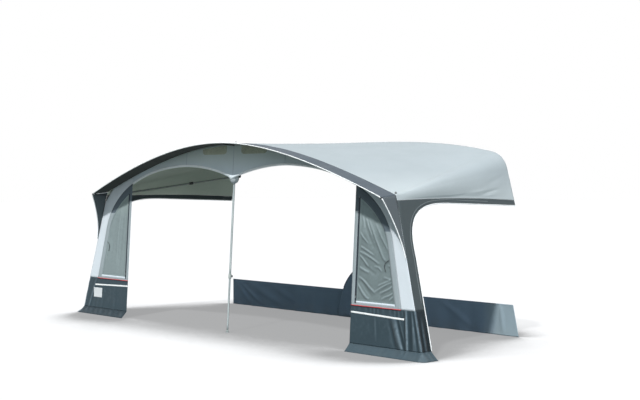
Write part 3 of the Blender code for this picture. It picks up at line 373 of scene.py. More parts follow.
def cloth_finish(name, base, roughness=0.6, pitch=0.0014, tone=0.05, hem=0.012, stitch=None, slub=0.35, dirt=0.0,
                 gloss=0.12, ridge=0.0, furrow=0.0, painted_highlight=None, painted_shading_by_height=None, painted_sunlit_end=None):
    """Woven cloth, with a painted highlight on the ridges of its folds and painted shade in their furrows.
    Colour by height, (low, high, from, to), is painted light and shade, and a lighter tint along the awning,
    (tint, from, to), is painted sunlight."""
    finish = Finish(name)
    threads = weave(finish, pitch)
    tinted = finish.scaled(base, finish.times(
        finish.varied(1.7, 1 - tone, 1 + tone, 4.0), finish.varied(260.0, 1 - tone * slub, 1 + tone * slub, 2.0),
        finish.ramp(threads, 1 - tone, 1.0)))
    # Painted light and shade: the colour changes with height, standing in for the light that falls there
    if painted_shading_by_height:
        low, high, start, end = painted_shading_by_height
        share = finish.ramp(finish.axis("Z"), 0.0, 1.0, start - RAIL_HEIGHT, end - RAIL_HEIGHT)
        tinted = finish.tint(tinted, share, (*low, 1), (*high, 1))
    # Painted sunlight: the cloth turns lighter along the awning towards the end that the sun lights
    if painted_sunlit_end:
        sunlit_tint, start, end = painted_sunlit_end
        tinted = finish.tint(tinted, finish.ramp(finish.axis("X"), 0.0, 1.0, start, end), WHITE, (*sunlit_tint, 1))
    # Painted shade in the furrows of the folds and a painted highlight on their ridges
    if ridge or furrow:
        fold = finish.node("Attribute", attribute_name="fold").outputs["Fac"]
        tinted = finish.tint(tinted, finish.ramp(fold, 1 - furrow, 1.0, -1.0, 0.0), BLACK, WHITE)
    if ridge:
        crest = finish.times(finish.ramp(fold, 0.0, ridge), finish.varied(22.0, 0.6, 1.2))
        tinted = finish.mix(crest, tinted, painted_highlight)
    relief = threads
    if hem:
        line, near = stitch_line(finish, hem)
        thread = stitch or tuple(c * 0.55 for c in base[:3]) + (1,)
        tinted = finish.mix(finish.times(line, 0.8), tinted, thread)
        inside = finish.ramp(near, 0.0, 1.0, hem + 0.004, hem + 0.006)
        edge = finish.times(finish.math("SUBTRACT", 1.0, inside), 4.0)
        relief = finish.math("ADD", finish.math("SUBTRACT", relief, finish.times(line, 1.5)), edge)
    if dirt:
        low = finish.ramp(finish.axis("Z"), dirt, 0.0, -RAIL_HEIGHT, -RAIL_HEIGHT + 0.16)
        patchy = finish.times(low, finish.ramp(finish.noise(9.0, 5.0), 0.2, 1.0, 0.35, 0.7))
        tinted = finish.mix(patchy, tinted, colour(150, 145, 132))
    normal = finish.bump(finish.noise(14.0, 4.0), 0.003, 0.35, finish.bump(relief, 0.0004, 0.5))
    return finish.made(Base_Color=tinted, Roughness=finish.varied(5.0, roughness - 0.06, roughness + 0.06),
                       Normal=normal, Sheen_Weight=0.05, Sheen_Roughness=0.5, Specular_IOR_Level=gloss)


def inner_finish(name, base, tone=0.07, slub=1.2, roughness=0.8):
    """The rougher inside of a cloth, without a seam."""
    return cloth_finish(name, base, roughness, tone=tone, hem=0, slub=slub)


def trim_finish(name, base, roughness=0.4, rib=0.004):
    """Piping and bead covers: smooth with a fine cross rib."""
    finish = Finish(name)
    return finish.made(Base_Color=finish.scaled(base, finish.varied(40.0, 0.93, 1.05)),
                       Roughness=finish.ramp(finish.noise(60.0), roughness - 0.05, roughness + 0.1),
                       Normal=finish.bump(finish.noise(1 / rib, 1.0), 0.0006, 0.4), Specular_IOR_Level=0.4)


def steel_finish(name, dark=colour(150, 160, 162), light=colour(176, 186, 187), metal=0.55):
    finish = Finish(name)
    streaks = finish.noise(30.0, 4.0, stretch=(1.0, 1.0, 0.08))
    scratches = finish.noise(300.0, 3.0, stretch=(1.0, 1.0, 0.05))
    return finish.made(Base_Color=finish.mix(finish.ramp(streaks, 0.0, 1.0, 0.35, 0.65), dark, light),
                       Metallic=metal, Roughness=finish.ramp(scratches, 0.4, 0.55, 0.3, 0.7),
                       Normal=finish.bump(scratches, 0.0002, 0.3))


def plastic_finish(name, base, roughness=0.45):
    finish = Finish(name)
    grain = finish.noise(700.0, 2.0)
    return finish.made(Base_Color=finish.scaled(base, finish.varied(20.0, 0.85, 1.2)),
                       Roughness=finish.ramp(grain, roughness - 0.08, roughness + 0.12),
                       Normal=finish.bump(grain, 0.0002, 0.4))


def mesh_finish(name, base):
    """Fine netting: threads with darker holes between them."""
    finish = Finish(name)
    threads = weave(finish, 0.0022)
    tone = finish.times(finish.ramp(threads, 0.35, 1.0, 0.35, 0.75), finish.varied(6.0, 0.9, 1.1))
    return finish.made(Base_Color=finish.scaled(base, tone), Roughness=finish.ramp(threads, 0.7, 0.9),
                       Normal=finish.bump(threads, 0.0006, 0.8))


def zip_finish(name, dark, light, pitch=0.003):
    """A zip's teeth across its tape."""
    finish = Finish(name)
    teeth = finish.math("FRACT", finish.times(finish.axis("X", finish.layer("cloth")), 1 / pitch))
    tooth = finish.math("LESS_THAN", teeth, 0.55)
    return finish.made(Base_Color=finish.mix(finish.varied(120.0, 0.0, 1.0), dark, light),
                       Roughness=finish.ramp(tooth, 0.65, 0.45), Normal=finish.bump(tooth, 0.0008, 0.7),
                       Specular_IOR_Level=0.25)


# The curtains' folds get painted shade in their furrows and a painted highlight on their ridges
CURTAIN_LOOKS = dict(roughness=0.7, tone=0.04, hem=0, slub=1.0, furrow=0.2, ridge=0.3, painted_highlight=colour(176, 190, 196))
FINISHES = {
    # The roof is painted lighter low on its steep sides, where less light falls on them
    "roof": cloth_finish("roof_cloth", colour(171, 180, 185), 0.62, tone=0.025, stitch=colour(170, 180, 188),
                         painted_shading_by_height=((1.2, 1.18, 1.16), (1, 1, 1), 1.83, 2.1)),
    # The insides are painted: the roof's is lighter, as painted light through the cloth; the visor's, sides' and
    # gussets' are darker, as painted shade
    "roof_inside": inner_finish("roof_inside", colour(209, 216, 204), slub=1.6),
    "dark_inside": inner_finish("dark_inside", colour(60, 66, 64)),
    "side_inside": inner_finish("side_inside", colour(69, 77, 79)),
    "gusset_inside": inner_finish("gusset_inside", colour(75, 84, 88), 0.05, 0.35, 0.7),
    # The valance is painted darker and warmer towards its top, where the visor shades it: painted shade
    "valance": cloth_finish("valance_cloth", colour(210, 221, 227), 0.6, tone=0.02,
                            painted_shading_by_height=((1.0, 1.0, 1.02), (0.95, 0.95, 0.88), 2.1, 2.32)),
    "visor": cloth_finish("visor_cloth", colour(82, 91, 100), 0.6, tone=0.03),
    "gusset": cloth_finish("gusset_cloth", colour(92, 99, 104), 0.6, tone=0.03),
    "side": cloth_finish("side_cloth", colour(75, 83, 86), 0.62, tone=0.04),
    # The skirts' and flaps' folds get painted highlights on their ridges and painted shade in their furrows
    "skirt": cloth_finish("skirt_cloth", colour(58, 73, 81), 0.45, gloss=0.07, furrow=0.45, ridge=0.55,
                          painted_highlight=colour(138, 156, 168)),
    # The skirt's side-facing return is a darker copy of the skirt cloth: painted shade
    "skirt_side": cloth_finish("skirt_side_cloth", colour(25, 36, 42), 0.5, furrow=0.4, ridge=0.4,
                               painted_highlight=colour(120, 138, 150)),
    "flap_right": cloth_finish("flap_cloth", colour(67, 83, 92), 0.5, dirt=0.05, furrow=0.4, ridge=0.1,
                               painted_highlight=colour(150, 165, 175)),
    # The left flap is a darker copy of the flap cloth: painted shade
    "flap_left": cloth_finish("flap_left_cloth", colour(46, 58, 65), 0.5, furrow=0.45, ridge=0.3,
                              painted_highlight=colour(130, 145, 155)),
    "panel": cloth_finish("panel_cloth", colour(217, 225, 232), 0.6, tone=0.02),
    "strip": cloth_finish("strip_cloth", colour(157, 168, 173), 0.55, tone=0.03, hem=0.006),
    # A darker strip cloth round the arch, partly painted shade down to the visor's shadow edge
    "strip_dark": cloth_finish("strip_dark_cloth", colour(96, 108, 117), 0.55, tone=0.03, hem=0.006),
    # Both curtains are painted lighter towards their tops, where the visor shades them: painted light
    "curtain_right": cloth_finish("curtain_cloth", colour(119, 132, 134), **CURTAIN_LOOKS,
                                  painted_shading_by_height=((1, 1, 1), (1.75, 1.7, 1.7), 1.3, 1.62)),
    "curtain_left": cloth_finish("curtain_left_cloth", colour(137, 150, 152), **CURTAIN_LOOKS,
                                 painted_shading_by_height=((1, 1, 1), (1.2, 1.2, 1.15), 1.4, 1.7)),
    # The cup's pleats get painted shade in their furrows
    "cup": cloth_finish("cup_cloth", colour(215, 225, 230), 0.5, tone=0.02, hem=0, furrow=0.3),
    "label": cloth_finish("label_patch", colour(216, 220, 223), 0.45, tone=0.02, hem=0.006, pitch=0.0006),
    # The draught skirt's end in the sun is painted lighter: painted sunlight
    "draught": cloth_finish("draught_cloth", colour(116, 137, 159), 0.55, dirt=0.15,
                            painted_sunlit_end=((1.6, 1.42, 1.17), 2.3, 2.55)),
    "side_seam": trim_finish("side_seam", colour(122, 131, 135), 0.6),
    "panel_seam": trim_finish("panel_seam", colour(176, 186, 194), 0.6),
    "navy_trim": trim_finish("navy_trim", colour(48, 60, 78), 0.5),
    "hem": trim_finish("hem_binding", colour(248, 252, 255), 0.5),
    "roll": trim_finish("rolled_hem", colour(214, 224, 232), 0.45),
    "white": trim_finish("white_piping", colour(250, 252, 253), 0.35),
    "red": trim_finish("red_piping", colour(205, 62, 66), 0.4),
    "elastic": trim_finish("black_elastic", colour(40, 42, 46), 0.7, 0.002),
    "mesh": mesh_finish("vent_mesh", colour(197, 202, 182)),
    "zip": zip_finish("zip_tape", colour(24, 32, 42), colour(42, 53, 66)),
    "steel": steel_finish("pole_steel"),
    # The rafters' steel is duller and a darker copy of the poles' steel: the darker colour is painted shade
    "dull_steel": steel_finish("rafter_steel", colour(112, 119, 116), colour(138, 144, 140), 0.2),
    "collar": plastic_finish("pole_collar", colour(150, 158, 156), 0.5),
    "black": plastic_finish("black_fitting", colour(34, 36, 39)),
}


# Meshes


FOLD_REACH = 0.018
FOLD_DEPTH = 0.004


def fold_values(rows, closed):
    """How far each point stands out from the cloth around it, from -1 in a furrow to 1 on a ridge."""
    points = np.array([[tuple(p) for p in row] for row in rows])
    normals = np.array([[tuple(n) for n in line] for line in normals_of(rows, closed)])
    total = np.zeros(points.shape[:2])
    for axis in (0, 1):
        gap = np.linalg.norm(np.diff(points, axis=axis), axis=2).mean()
        step = max(round(FOLD_REACH / max(gap, 1e-6)), 1)
        if points.shape[axis] <= 2 * step:
            continue
        around = (np.roll(points, step, axis) + np.roll(points, -step, axis)) / 2
        out = ((points - around) * normals).sum(axis=2)
        if not (closed and axis == 1):
            edge = [slice(None), slice(None)]
            for cut in (slice(0, step), slice(-step, None)):
                edge[axis] = cut
                out[tuple(edge)] = 0
        total += out
    return np.clip(total / FOLD_DEPTH, -1, 1)


def spans(rows, closed):
    """How far along its middle row each column of a grid is, and how far down its column each point is."""
    middle = rows[len(rows) // 2]
    along = [0.0]
    for j in range(1, len(middle) + closed):
        along.append(along[-1] + (middle[j % len(middle)] - middle[j - 1]).length)
    down = [[0.0] * len(middle)]
    for above, row in zip(rows, rows[1:]):
        down.append([d + (q - p).length for d, p, q in zip(down[-1], above, row)])
    return along, down


def mesh_from(bm, name):
    mesh = bpy.data.meshes.new(name)
    bm.to_mesh(mesh)
    bm.free()
    return mesh


def uv_layers(bm):
    return [bm.loops.layers.uv.new(name) for name in ("cloth", "hem")]


def grid_mesh(name, rows, closed=False, solid=False):
    """A mesh from rows of points, with its own cloth coordinates and hem distances in metres."""
    width = len(rows[0])
    along, down = spans(rows, closed)
    bm = bmesh.new()
    verts = [[bm.verts.new(p) for p in row] for row in rows]
    cloth, hem = uv_layers(bm)
    for i in range(len(rows) - 1):
        for j in range(width - 1 + closed):
            n = (j + 1) % width
            face = bm.faces.new((verts[i][j], verts[i + 1][j], verts[i + 1][n], verts[i][n]))
            face.smooth = True
            for loop, a, b, u in zip(face.loops, (i, i + 1, i + 1, i), (j, j, n, n), (j, j, j + 1, j + 1)):
                loop[cloth].uv = (along[u], down[a][b])
                loop[hem].uv = (down[a][b], down[-1][b] - down[a][b])
    if solid:
        bmesh.ops.recalc_face_normals(bm, faces=bm.faces)
    mesh = mesh_from(bm, name)
    fold = mesh.attributes.new("fold", "FLOAT", "POINT")
    fold.data.foreach_set("value", fold_values(rows, closed).ravel().astype(np.float32))
    return mesh


def flat_area(rows, closed):
    total = 0.0
    for row, below in zip(rows, rows[1:]):
        for j in range(len(row) - 1 + closed):
            n = (j + 1) % len(row)
            total += (below[n] - row[j]).cross(below[j] - row[n]).length / 2
    return total


def normals_of(rows, closed=False):
    """Outward directions at each point of a grid, to the right of its run."""
    result = []
    for i, row in enumerate(rows):
        above, below = rows[max(i - 1, 0)], rows[min(i + 1, len(rows) - 1)]
        line = []
        for j in range(len(row)):
            left = row[j - 1] if closed else row[max(j - 1, 0)]
            right = row[(j + 1) % len(row)] if closed else row[min(j + 1, len(row) - 1)]
            line.append((right - left).cross(above[j] - below[j]).normalized())
        result.append(line)
    return result


def facing(rows, direction, closed=False):
    """The grid with its outward side towards a direction."""
    total = sum((n for line in normals_of(rows, closed) for n in line), Vector((0, 0, 0)))
    return rows if total.dot(Vector(direction)) > 0 else list(reversed(rows))


def creased(rows, relief, closed):
    """The grid with each point moved along its normal, by relief(point, across, down) or a table of steps."""
    moved = []
    for i, (row, line) in enumerate(zip(rows, normals_of(rows, closed))):
        if callable(relief):
            steps = [relief(p, j / (len(row) - 1), i / (len(rows) - 1)) for j, p in enumerate(row)]
        else:
            steps = [float(step) for step in relief[i]]
        moved.append([p + n * step for p, n, step in zip(row, line, steps)])
    return moved


def along_curve(points, steps=5):
    """A smooth line through points."""
    line = []
    for k in range(len(points) - 1):
        a, b = points[max(k - 1, 0)], points[k]
        c, d = points[k + 1], points[min(k + 2, len(points) - 1)]
        for t in (n / steps for n in range(steps)):
            line.append(0.5 * (2 * b + (c - a) * t + (2 * a - 5 * b + 4 * c - d) * t * t
                               + (3 * b - 3 * c + d - a) * t ** 3))
    return line + [points[-1]]


def fold_map(rows, lines):
    """Ridges and furrows along drawn lines in (|x|, height), as a step for each point of a grid."""
    xs = np.array([[abs(p.x) for p in row] for row in rows])
    hs = np.array([[height(p) for p in row] for row in rows])
    total = np.zeros_like(xs)
    for width, depth, path in lines:
        line = along_curve([Vector(p) for p in path])
        nearest = np.full_like(xs, 9.0)
        where = np.zeros_like(xs)
        for k, (a, b) in enumerate(zip(line, line[1:])):
            run = b - a
            t = np.clip(((xs - a.x) * run.x + (hs - a.y) * run.y) / run.length_squared, 0, 1)
            off = np.hypot(xs - a.x - t * run.x, hs - a.y - t * run.y)
            closer = off < nearest
            nearest = np.where(closer, off, nearest)
            where = np.where(closer, (k + t) / (len(line) - 1), where)
        taper = np.sin(np.pi * np.clip(where * 0.96 + 0.02, 0, 1)) ** 0.6
        total += depth * taper * np.exp(-(nearest / width) ** 2)
    return total


def crease(p, start, end, width, depth):
    """A ridge or fold along a line in (x, height), which tapers to its ends."""
    run_x, run_h = end[0] - start[0], end[1] - start[1]
    x, h = p[0] - start[0], p[1] - start[1]
    length = hypot(run_x, run_h)
    t = (x * run_x + h * run_h) / length ** 2
    if not 0 < t < 1:
        return 0.0
    return depth * sin(pi * t) ** 0.8 * exp(-((x * run_h - h * run_x) / length / width) ** 2)


def creases(x, h, folds):
    return sum(crease((x, h), *fold) for fold in folds)


def ripple(p, scale, seed=0.0):
    return noise.fractal(Vector((p.x * scale + seed, p.y * scale, p.z * scale)), 1.0, 2.0, 3)


def rippled(scale, seed, depth, sink=0.0, across=0.0):
    """A relief of soft ripples that sinks in a little and fades to the edges."""
    def relief(p, a, d):
        fade = sin(pi * d) * (sin(pi * min(a * across, 1)) if across else 1)
        return (ripple(p, scale, seed) * depth - sink) * fade
    return relief


def linked(name, data):
    made = bpy.data.objects.new(name, data)
    bpy.context.scene.collection.objects.link(made)
    return made


def place(name, data, finish, nodes, slot, inside=None, body=BODY):
    piece = linked(name, data)
    for key in filter(None, (finish, inside)):
        data.materials.append(FINISHES[key])
    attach(piece, body)
    if nodes:
        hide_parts(*nodes)
    return piece


def modified(piece, kind, **values):
    made = piece.modifiers.new(kind.lower(), kind)
    for key, value in values.items():
        setattr(made, key, value)
    return piece


def sheet(name, rows, towards, finish, nodes, slot, relief=None, closed=False, inside=None):
    """A sheet of cloth, creased and given a thickness. Its flat size is worked out from the grid before it is creased,
    a strip with a bend in it counting as laid out straight with its mean width, but nothing uses it."""
    rows = facing(rows, towards, closed)
    area = flat_area(rows, closed)
    along, down = spans(rows, closed)
    deep = max(down[-1])
    wide = max(along[-1], area / deep * 1.002)
    if area < 0.31 * wide * deep:
        deep = area / wide
    if relief is not None:
        rows = creased(rows, relief, closed)
    piece = place(name, grid_mesh(name, rows, closed), finish, nodes, slot, inside)
    modified(piece, "SOLIDIFY", thickness=CLOTH, offset=-1.0, material_offset=1 if inside else 0)
    return piece


def tube(name, points, radius, finish, nodes, slot):
    """Round trim along points."""
    curve = bpy.data.curves.new(name, "CURVE")
    curve.dimensions = "3D"
    curve.bevel_depth = radius
    curve.bevel_resolution = 3
    curve.use_fill_caps = True
    spline = curve.splines.new("POLY")
    spline.points.add(len(points) - 1)
    for item, point in zip(spline.points, points):
        item.co = (*point, 1)
    return place(name, curve, finish, nodes, slot)


def solid(name, rows, finish, nodes, slot, body=BODY):
    return place(name, grid_mesh(name, rows, closed=True, solid=True), finish, nodes, slot, body=body)


def ring(centre, s, m, wide, thick, count, lobes=0, depth=0.0):
    """Points round a centre, drawn in by a share of the radius between lobes."""
    points = []
    for t in (2 * pi * k / count for k in range(count)):
        reach = 1 - depth * (1 - cos(lobes * t)) / 2
        points.append(centre + s * wide * reach * cos(t) + m * thick * reach * sin(t))
    return points


def runs(points):
    """Each point of a line with the direction there."""
    last = len(points) - 1
    return [(p, (points[min(k + 1, last)] - points[max(k - 1, 0)]).normalized()) for k, p in enumerate(points)]


def capped(rows, start, end, share):
    """The rows with a smaller ring before and after them."""
    return [[lerp(start, q, share) for q in rows[0]]] + rows + [[lerp(end, q, share) for q in rows[-1]]]


def band(name, points, normal, wide, thick, finish, nodes, slot, segments=12):
    """A flattened round trim along points, wide in the cloth's plane."""
    rows = []
    for p, run in runs(points):
        s = run.cross(Vector(normal)).normalized()
        rows.append(ring(p, s, s.cross(run), wide, thick, segments))
    return solid(name, capped(rows, points[0], points[-1], 0.1), finish, nodes, slot)


def plate(name, outline, forward, thickness, finish, nodes, slot, body=BODY, bevel=0.0):
    """A flat piece on the front wall."""
    bm = bmesh.new()
    cloth, hem = uv_layers(bm)
    near, far = ([bm.verts.new(on_front(x, h, out)) for x, h in outline] for out in (forward, forward - thickness))
    faces = [bm.faces.new(near), bm.faces.new(list(reversed(far)))]
    for j in range(len(outline)):
        k = (j + 1) % len(outline)
        faces.append(bm.faces.new((near[j], far[j], far[k], near[k])))
    bmesh.ops.recalc_face_normals(bm, faces=bm.faces)
    xs = [x for x, _ in outline]
    for loop in (loop for face in faces for loop in face.loops):
        x = loop.vert.co.x
        loop[cloth].uv = (x, height(loop.vert.co))
        loop[hem].uv = (x - min(xs), max(xs) - x)
    piece = place(name, mesh_from(bm, name), finish, nodes, slot, body=body)
    return modified(piece, "BEVEL", width=bevel, segments=3) if bevel else piece


LOBE_DEPTH = 0.14


def turned(name, radius, start, run, profile, finish, nodes, slot, body=BODY, count=32, lobes=0):
    """A solid turned about an axis. Its profile is in shares of the run and of the radius."""
    n = run.normalized()
    s = n.orthogonal().normalized()
    rows = [ring(start + run * along, s, n.cross(s), radius * share, radius * share, count, lobes, LOBE_DEPTH)
            for along, share in profile]
    return solid(name, rows, finish, nodes, slot, body)


KNOB = ((0.0, 0.001), (0.0, 0.72), (0.06, 0.92), (0.2, 1.0), (0.8, 1.0), (0.94, 0.92), (1.0, 0.72), (1.0, 0.001))
COLLAR = ((0.0, 0.516), (0.0, 0.86), (0.02, 0.98), (0.06, 1.0), (0.22, 1.0), (0.26, 0.94), (0.9, 0.9), (0.97, 0.86),
          (1.0, 0.8), (1.0, 0.48))


def knob(name, radius, length, centre, axis, finish, body=BODY, nodes=(), slot="black_fitting", lobes=0):
    """A small rounded knob about an axis."""
    run = Vector(axis).normalized() * length
    return turned(name, radius, centre - run / 2, run, KNOB, finish, nodes, slot, body, 40, lobes)


def collar(name, start, end, radius, finish="black"):
    """A moulded sleeve with rounded ends, thicker at its mouth."""
    return turned(name, radius, start, end - start, COLLAR, finish, (), "black_fitting")


# Cloth of the top


def mirrored(half):
    return [Vector((-p.x, p.y, p.z)) for p in reversed(half[1:])] + half


def rail_half(bend, side):
    corner = at(side_x(0, RAIL_CORNER_HEIGHT), 0, RAIL_CORNER_HEIGHT)
    points = [at(x, 0, lerp(RAIL_HEIGHT, RAIL_CORNER_HEIGHT, (x / corner.x) ** 3))
              for x in spread(0.0, corner.x - RAIL_CORNER_BLEND, ROOF_STEPS)]
    foot = on_side(1, 0, ROOF_EDGE_REAR)
    above, below = points[-1], corner + (foot - corner).normalized() * RAIL_CORNER_BLEND
    points += [lerp(lerp(above, corner, t), lerp(corner, below, t), t) for t in spread(0.0, 1.0, bend)[1:]]
    return points + spread(below, foot, side)[1:]


def front_half(beyond):
    points = [on_front(x, arch_height(x)) for x in spread(0.0, CORNER_HALF, ROOF_STEPS)]
    return points + [on_front(corner_x(h), h) for h in spread(CORNER_HEIGHT, ROOF_EDGE_FRONT, beyond)[1:]]


def roof_rows(rows, bend=12, side=10, first=ROOF_FIRST, last=ROOF_LAST):
    """Lines across the roof from one side edge to the other, from the rail to the front."""
    beyond = bend + side
    rail, front = rail_half(bend, side), front_half(beyond)
    result = []
    for share in spread(first, last, rows):
        line = []
        for n, (back, fore) in enumerate(zip(rail, front)):
            lift = ROOF_EDGE_BOW * 4 * share * (1 - share) * max(n - ROOF_STEPS, 0) / beyond
            line.append(lerp(back, fore, share) + Vector((-LEG_LEAN * lift, 0, lift)))
        result.append(mirrored(line))
    return result


# Folds as ((x or y, height) at one end, the same at the other, width, depth)
ROOF_FOLDS = (
    ((-0.35, 1.80), (-0.75, 1.765), 0.014, 0.005),
    ((-0.28, 1.87), (-0.70, 1.80), 0.016, -0.005),
    ((-0.55, 1.86), (-1.02, 1.80), 0.018, 0.0035),
    ((-0.80, 1.82), (-1.22, 1.785), 0.014, -0.003),
    ((-0.10, 2.05), (-0.60, 1.90), 0.030, -0.003),
)
ROOF_FOLDS_FROM = 2.3
ROOF_RIPPLE, ROOF_SAG, ROOF_BULGE = 0.0035, 0.010, 0.034


def roof_relief(p, across, down):
    """Soft ripples, a sag in the middle, steep sides that bulge, and folds at the side edges."""
    h, bend = height(p), ROOF_BEND + ROOF_SIDE
    steep = (abs(across - 0.5) * 2 * (ROOF_STEPS + bend) - ROOF_STEPS) / bend
    value = ripple(p, 1.1) * ROOF_RIPPLE - ROOF_SAG * sin(pi * down) * smooth((h - 1.95) / 0.4)
    value += ROOF_BULGE * sin(pi * min(max(steep, 0), 1) ** 0.8) * sin(pi * down)
    if abs(p.x) > ROOF_FOLDS_FROM:
        value += creases(p.y, h, ROOF_FOLDS)
    return value * inwards(down, 12) * inwards(across, 30)


VISOR_LINE = spread(-CORNER_HALF, CORNER_HALF, 180)


def visor_point(x, share):
    out, top = abs(x) / CORNER_HALF, arch_height(x)
    h = top - VISOR_END_DROP * out ** 4 * share
    y = front_y(top) - lerp(VISOR_DEPTH, VISOR_END_DEPTH, out * out) * share
    widen = side_x(y, h) / corner_x(h) if out else 1
    return at(lerp(x, x * widen, out), y, h)


def gusset_edge_y(h):
    share = max((h - GUSSET_FOOT) / (CORNER_HEIGHT - VISOR_END_DROP - GUSSET_FOOT), 0)
    return front_y(h) - lerp(GUSSET_FOOT_WIDTH, VISOR_END_DEPTH, share ** 1.6)


def beside_line(points, step, out=0.0):
    """The line in the front wall's plane moved across its run, and forward by out."""
    return [p + Vector((run.z, 0, -run.x)).normalized() * step + Vector((0, -out, 0)) for p, run in runs(points)]


def build_top():
    sheet("roof", roof_rows(120, ROOF_BEND, ROOF_SIDE), UP, "roof", ("roof_left", "roof_centre", "roof_right"),
          "roof_cloth", roof_relief, inside="roof_inside")
    rows = [[visor_point(x, share) for x in VISOR_LINE] for share in spread(0.0, 1.0, 10)]
    rows[0] = [p + Vector((0, -LAP, 0)) for p in rows[0]]
    sheet("visor_cloth", rows, UP, "visor", ("visor",), "band_cloth",
          rippled(3.0, 5.0, 0.002, 0.003), inside="dark_inside")
    legs = []
    for name, side in SIDES:
        rows = []
        for inner, outer in zip(spread(GUSSET_FOOT, GUSSET_TOP, 24), spread(GUSSET_FOOT, GUSSET_EDGE_TOP, 24)):
            near = on_side(side, front_y(inner) - LAP, inner)
            rows.append(spread(near, on_side(side, gusset_edge_y(outer) + LAP, outer), 8))
        tube("gusset_top_seam_" + name, [p + Vector((-side * 0.004, 0, -0.005)) for p in rows[-1]], 0.0035, "hem",
             (), "strip_cloth")
        sheet("gusset_cloth_" + name, rows, (side, 0, 0), "gusset", ("gusset_" + name,), "band_cloth",
              rippled(4.0, 9.0, 0.002, across=1.0), inside="gusset_inside")
        legs.append([on_side(side, gusset_edge_y(h) - PIPING * hypot(1, slope_of(gusset_edge_y, h)), h, -0.001)
                     for h in spread(GUSSET_FOOT, GUSSET_EDGE_TOP, 31)[:-1]])
    edge = [visor_point(x, 1) + Vector((0, -PIPING, -0.001)) for x in VISOR_LINE[1:-1]]
    tube("visor_edge_piping", legs[0] + edge + legs[1][::-1], PIPING, "white", ("visor_piping",), "white_binding")
    ends = [on_side(side, -BEAD_RADIUS, RAIL_END_HEIGHT, -BEAD_RADIUS) for side in (-1, 1)]
    bead = beside_line(roof_rows(1, first=BEAD_RADIUS / TOP_DEPTH, last=0.5)[0], BEAD_RADIUS)
    tube("rail_cover", ends[:1] + bead + ends[1:], BEAD_RADIUS, "white", ("rail_bead",), "white_binding")


# Cloth of the front


VALANCE_FOLDS = (
    ((0.06, 2.05), (0.42, 2.20), 0.020, 0.004),
    ((0.08, 2.03), (0.60, 2.13), 0.022, 0.004),
    ((0.03, 2.06), (0.16, 2.30), 0.018, 0.003),
    ((0.12, 2.10), (0.80, 2.24), 0.030, -0.004),
)


def valance_relief(p, across, down):
    return ripple(p, 2.2, 3.0) * 0.002 * sin(pi * down) + creases(abs(p.x), height(p), VALANCE_FOLDS)


def vent_outline(side):
    points = []
    for end, towards in ((VENT_OUTER, -1), (VENT_INNER, 1)):
        centre = end + towards * VENT_CORNER
        arc = [(centre - towards * VENT_CORNER * cos(t), VENT_FOOT + VENT_CORNER * 0.7 * (1 - sin(t)))
               for t in spread(0.0, pi / 2, 8)]
        points += arc[::-towards]
    points += [(x, arch_height(x) - 0.024) for x in spread(VENT_INNER, VENT_OUTER, 12)]
    return [(side * x, h) for x, h in points]


def build_valance():
    half = LEG_INNER * 0.9998
    rows = [[on_front(x, lerp(valance_top(x), hem_height(x), share)) for x in spread(-half, half, 160)]
            for share in spread(0.0, 1.0, 14)]
    sheet("valance_cloth", rows, FRONT, "valance", ("valance",), "white_panel",
          valance_relief, inside="roof_inside")
    half = LEG_INNER * 0.997
    hem = beside_line([on_front(x, hem_height(x)) for x in spread(-half, half, 160)], 0.005, -0.001)
    band("valance_binding", hem, FRONT, 0.015, 0.0045, "hem", ("valance_hem",), "strip_cloth")
    for x, name in ((0.0, "middle"), (ROOF_SEAM, "right"), (-ROOF_SEAM, "left")):
        line = [on_front(x, h, SEAM) for h in spread(valance_top(x) - 0.002, hem_height(x) + 0.012, 10)]
        band("valance_seam_" + name, line, FRONT, 0.005, SEAM, "panel_seam", (), "white_panel", 6)
    for name, side in SIDES:
        plate("vent_net_" + name, vent_outline(side), 0.0014, 0.0042, "mesh", ("vent_" + name,), "vent_mesh")


def between(side, first, last, steps, forward=0.0):
    """Rows on the front wall from one line of (x, height) to another."""
    return [[on_front(side * lerp(a, c, t), lerp(b, d, t), forward) for (a, b), (c, d) in zip(first, last)]
            for t in spread(0.0, 1.0, steps)]


def window_loop(arch, x, foot, top):
    """Round a window: up its straight edge, over its arch and back along its foot."""
    over = arch.run(x, foot, 70)
    return ([(x, h) for h in spread(foot, top, 26)[:-1]] + over
            + [(back, foot) for back in spread(over[-1][0], x, 14)[1:-1]])


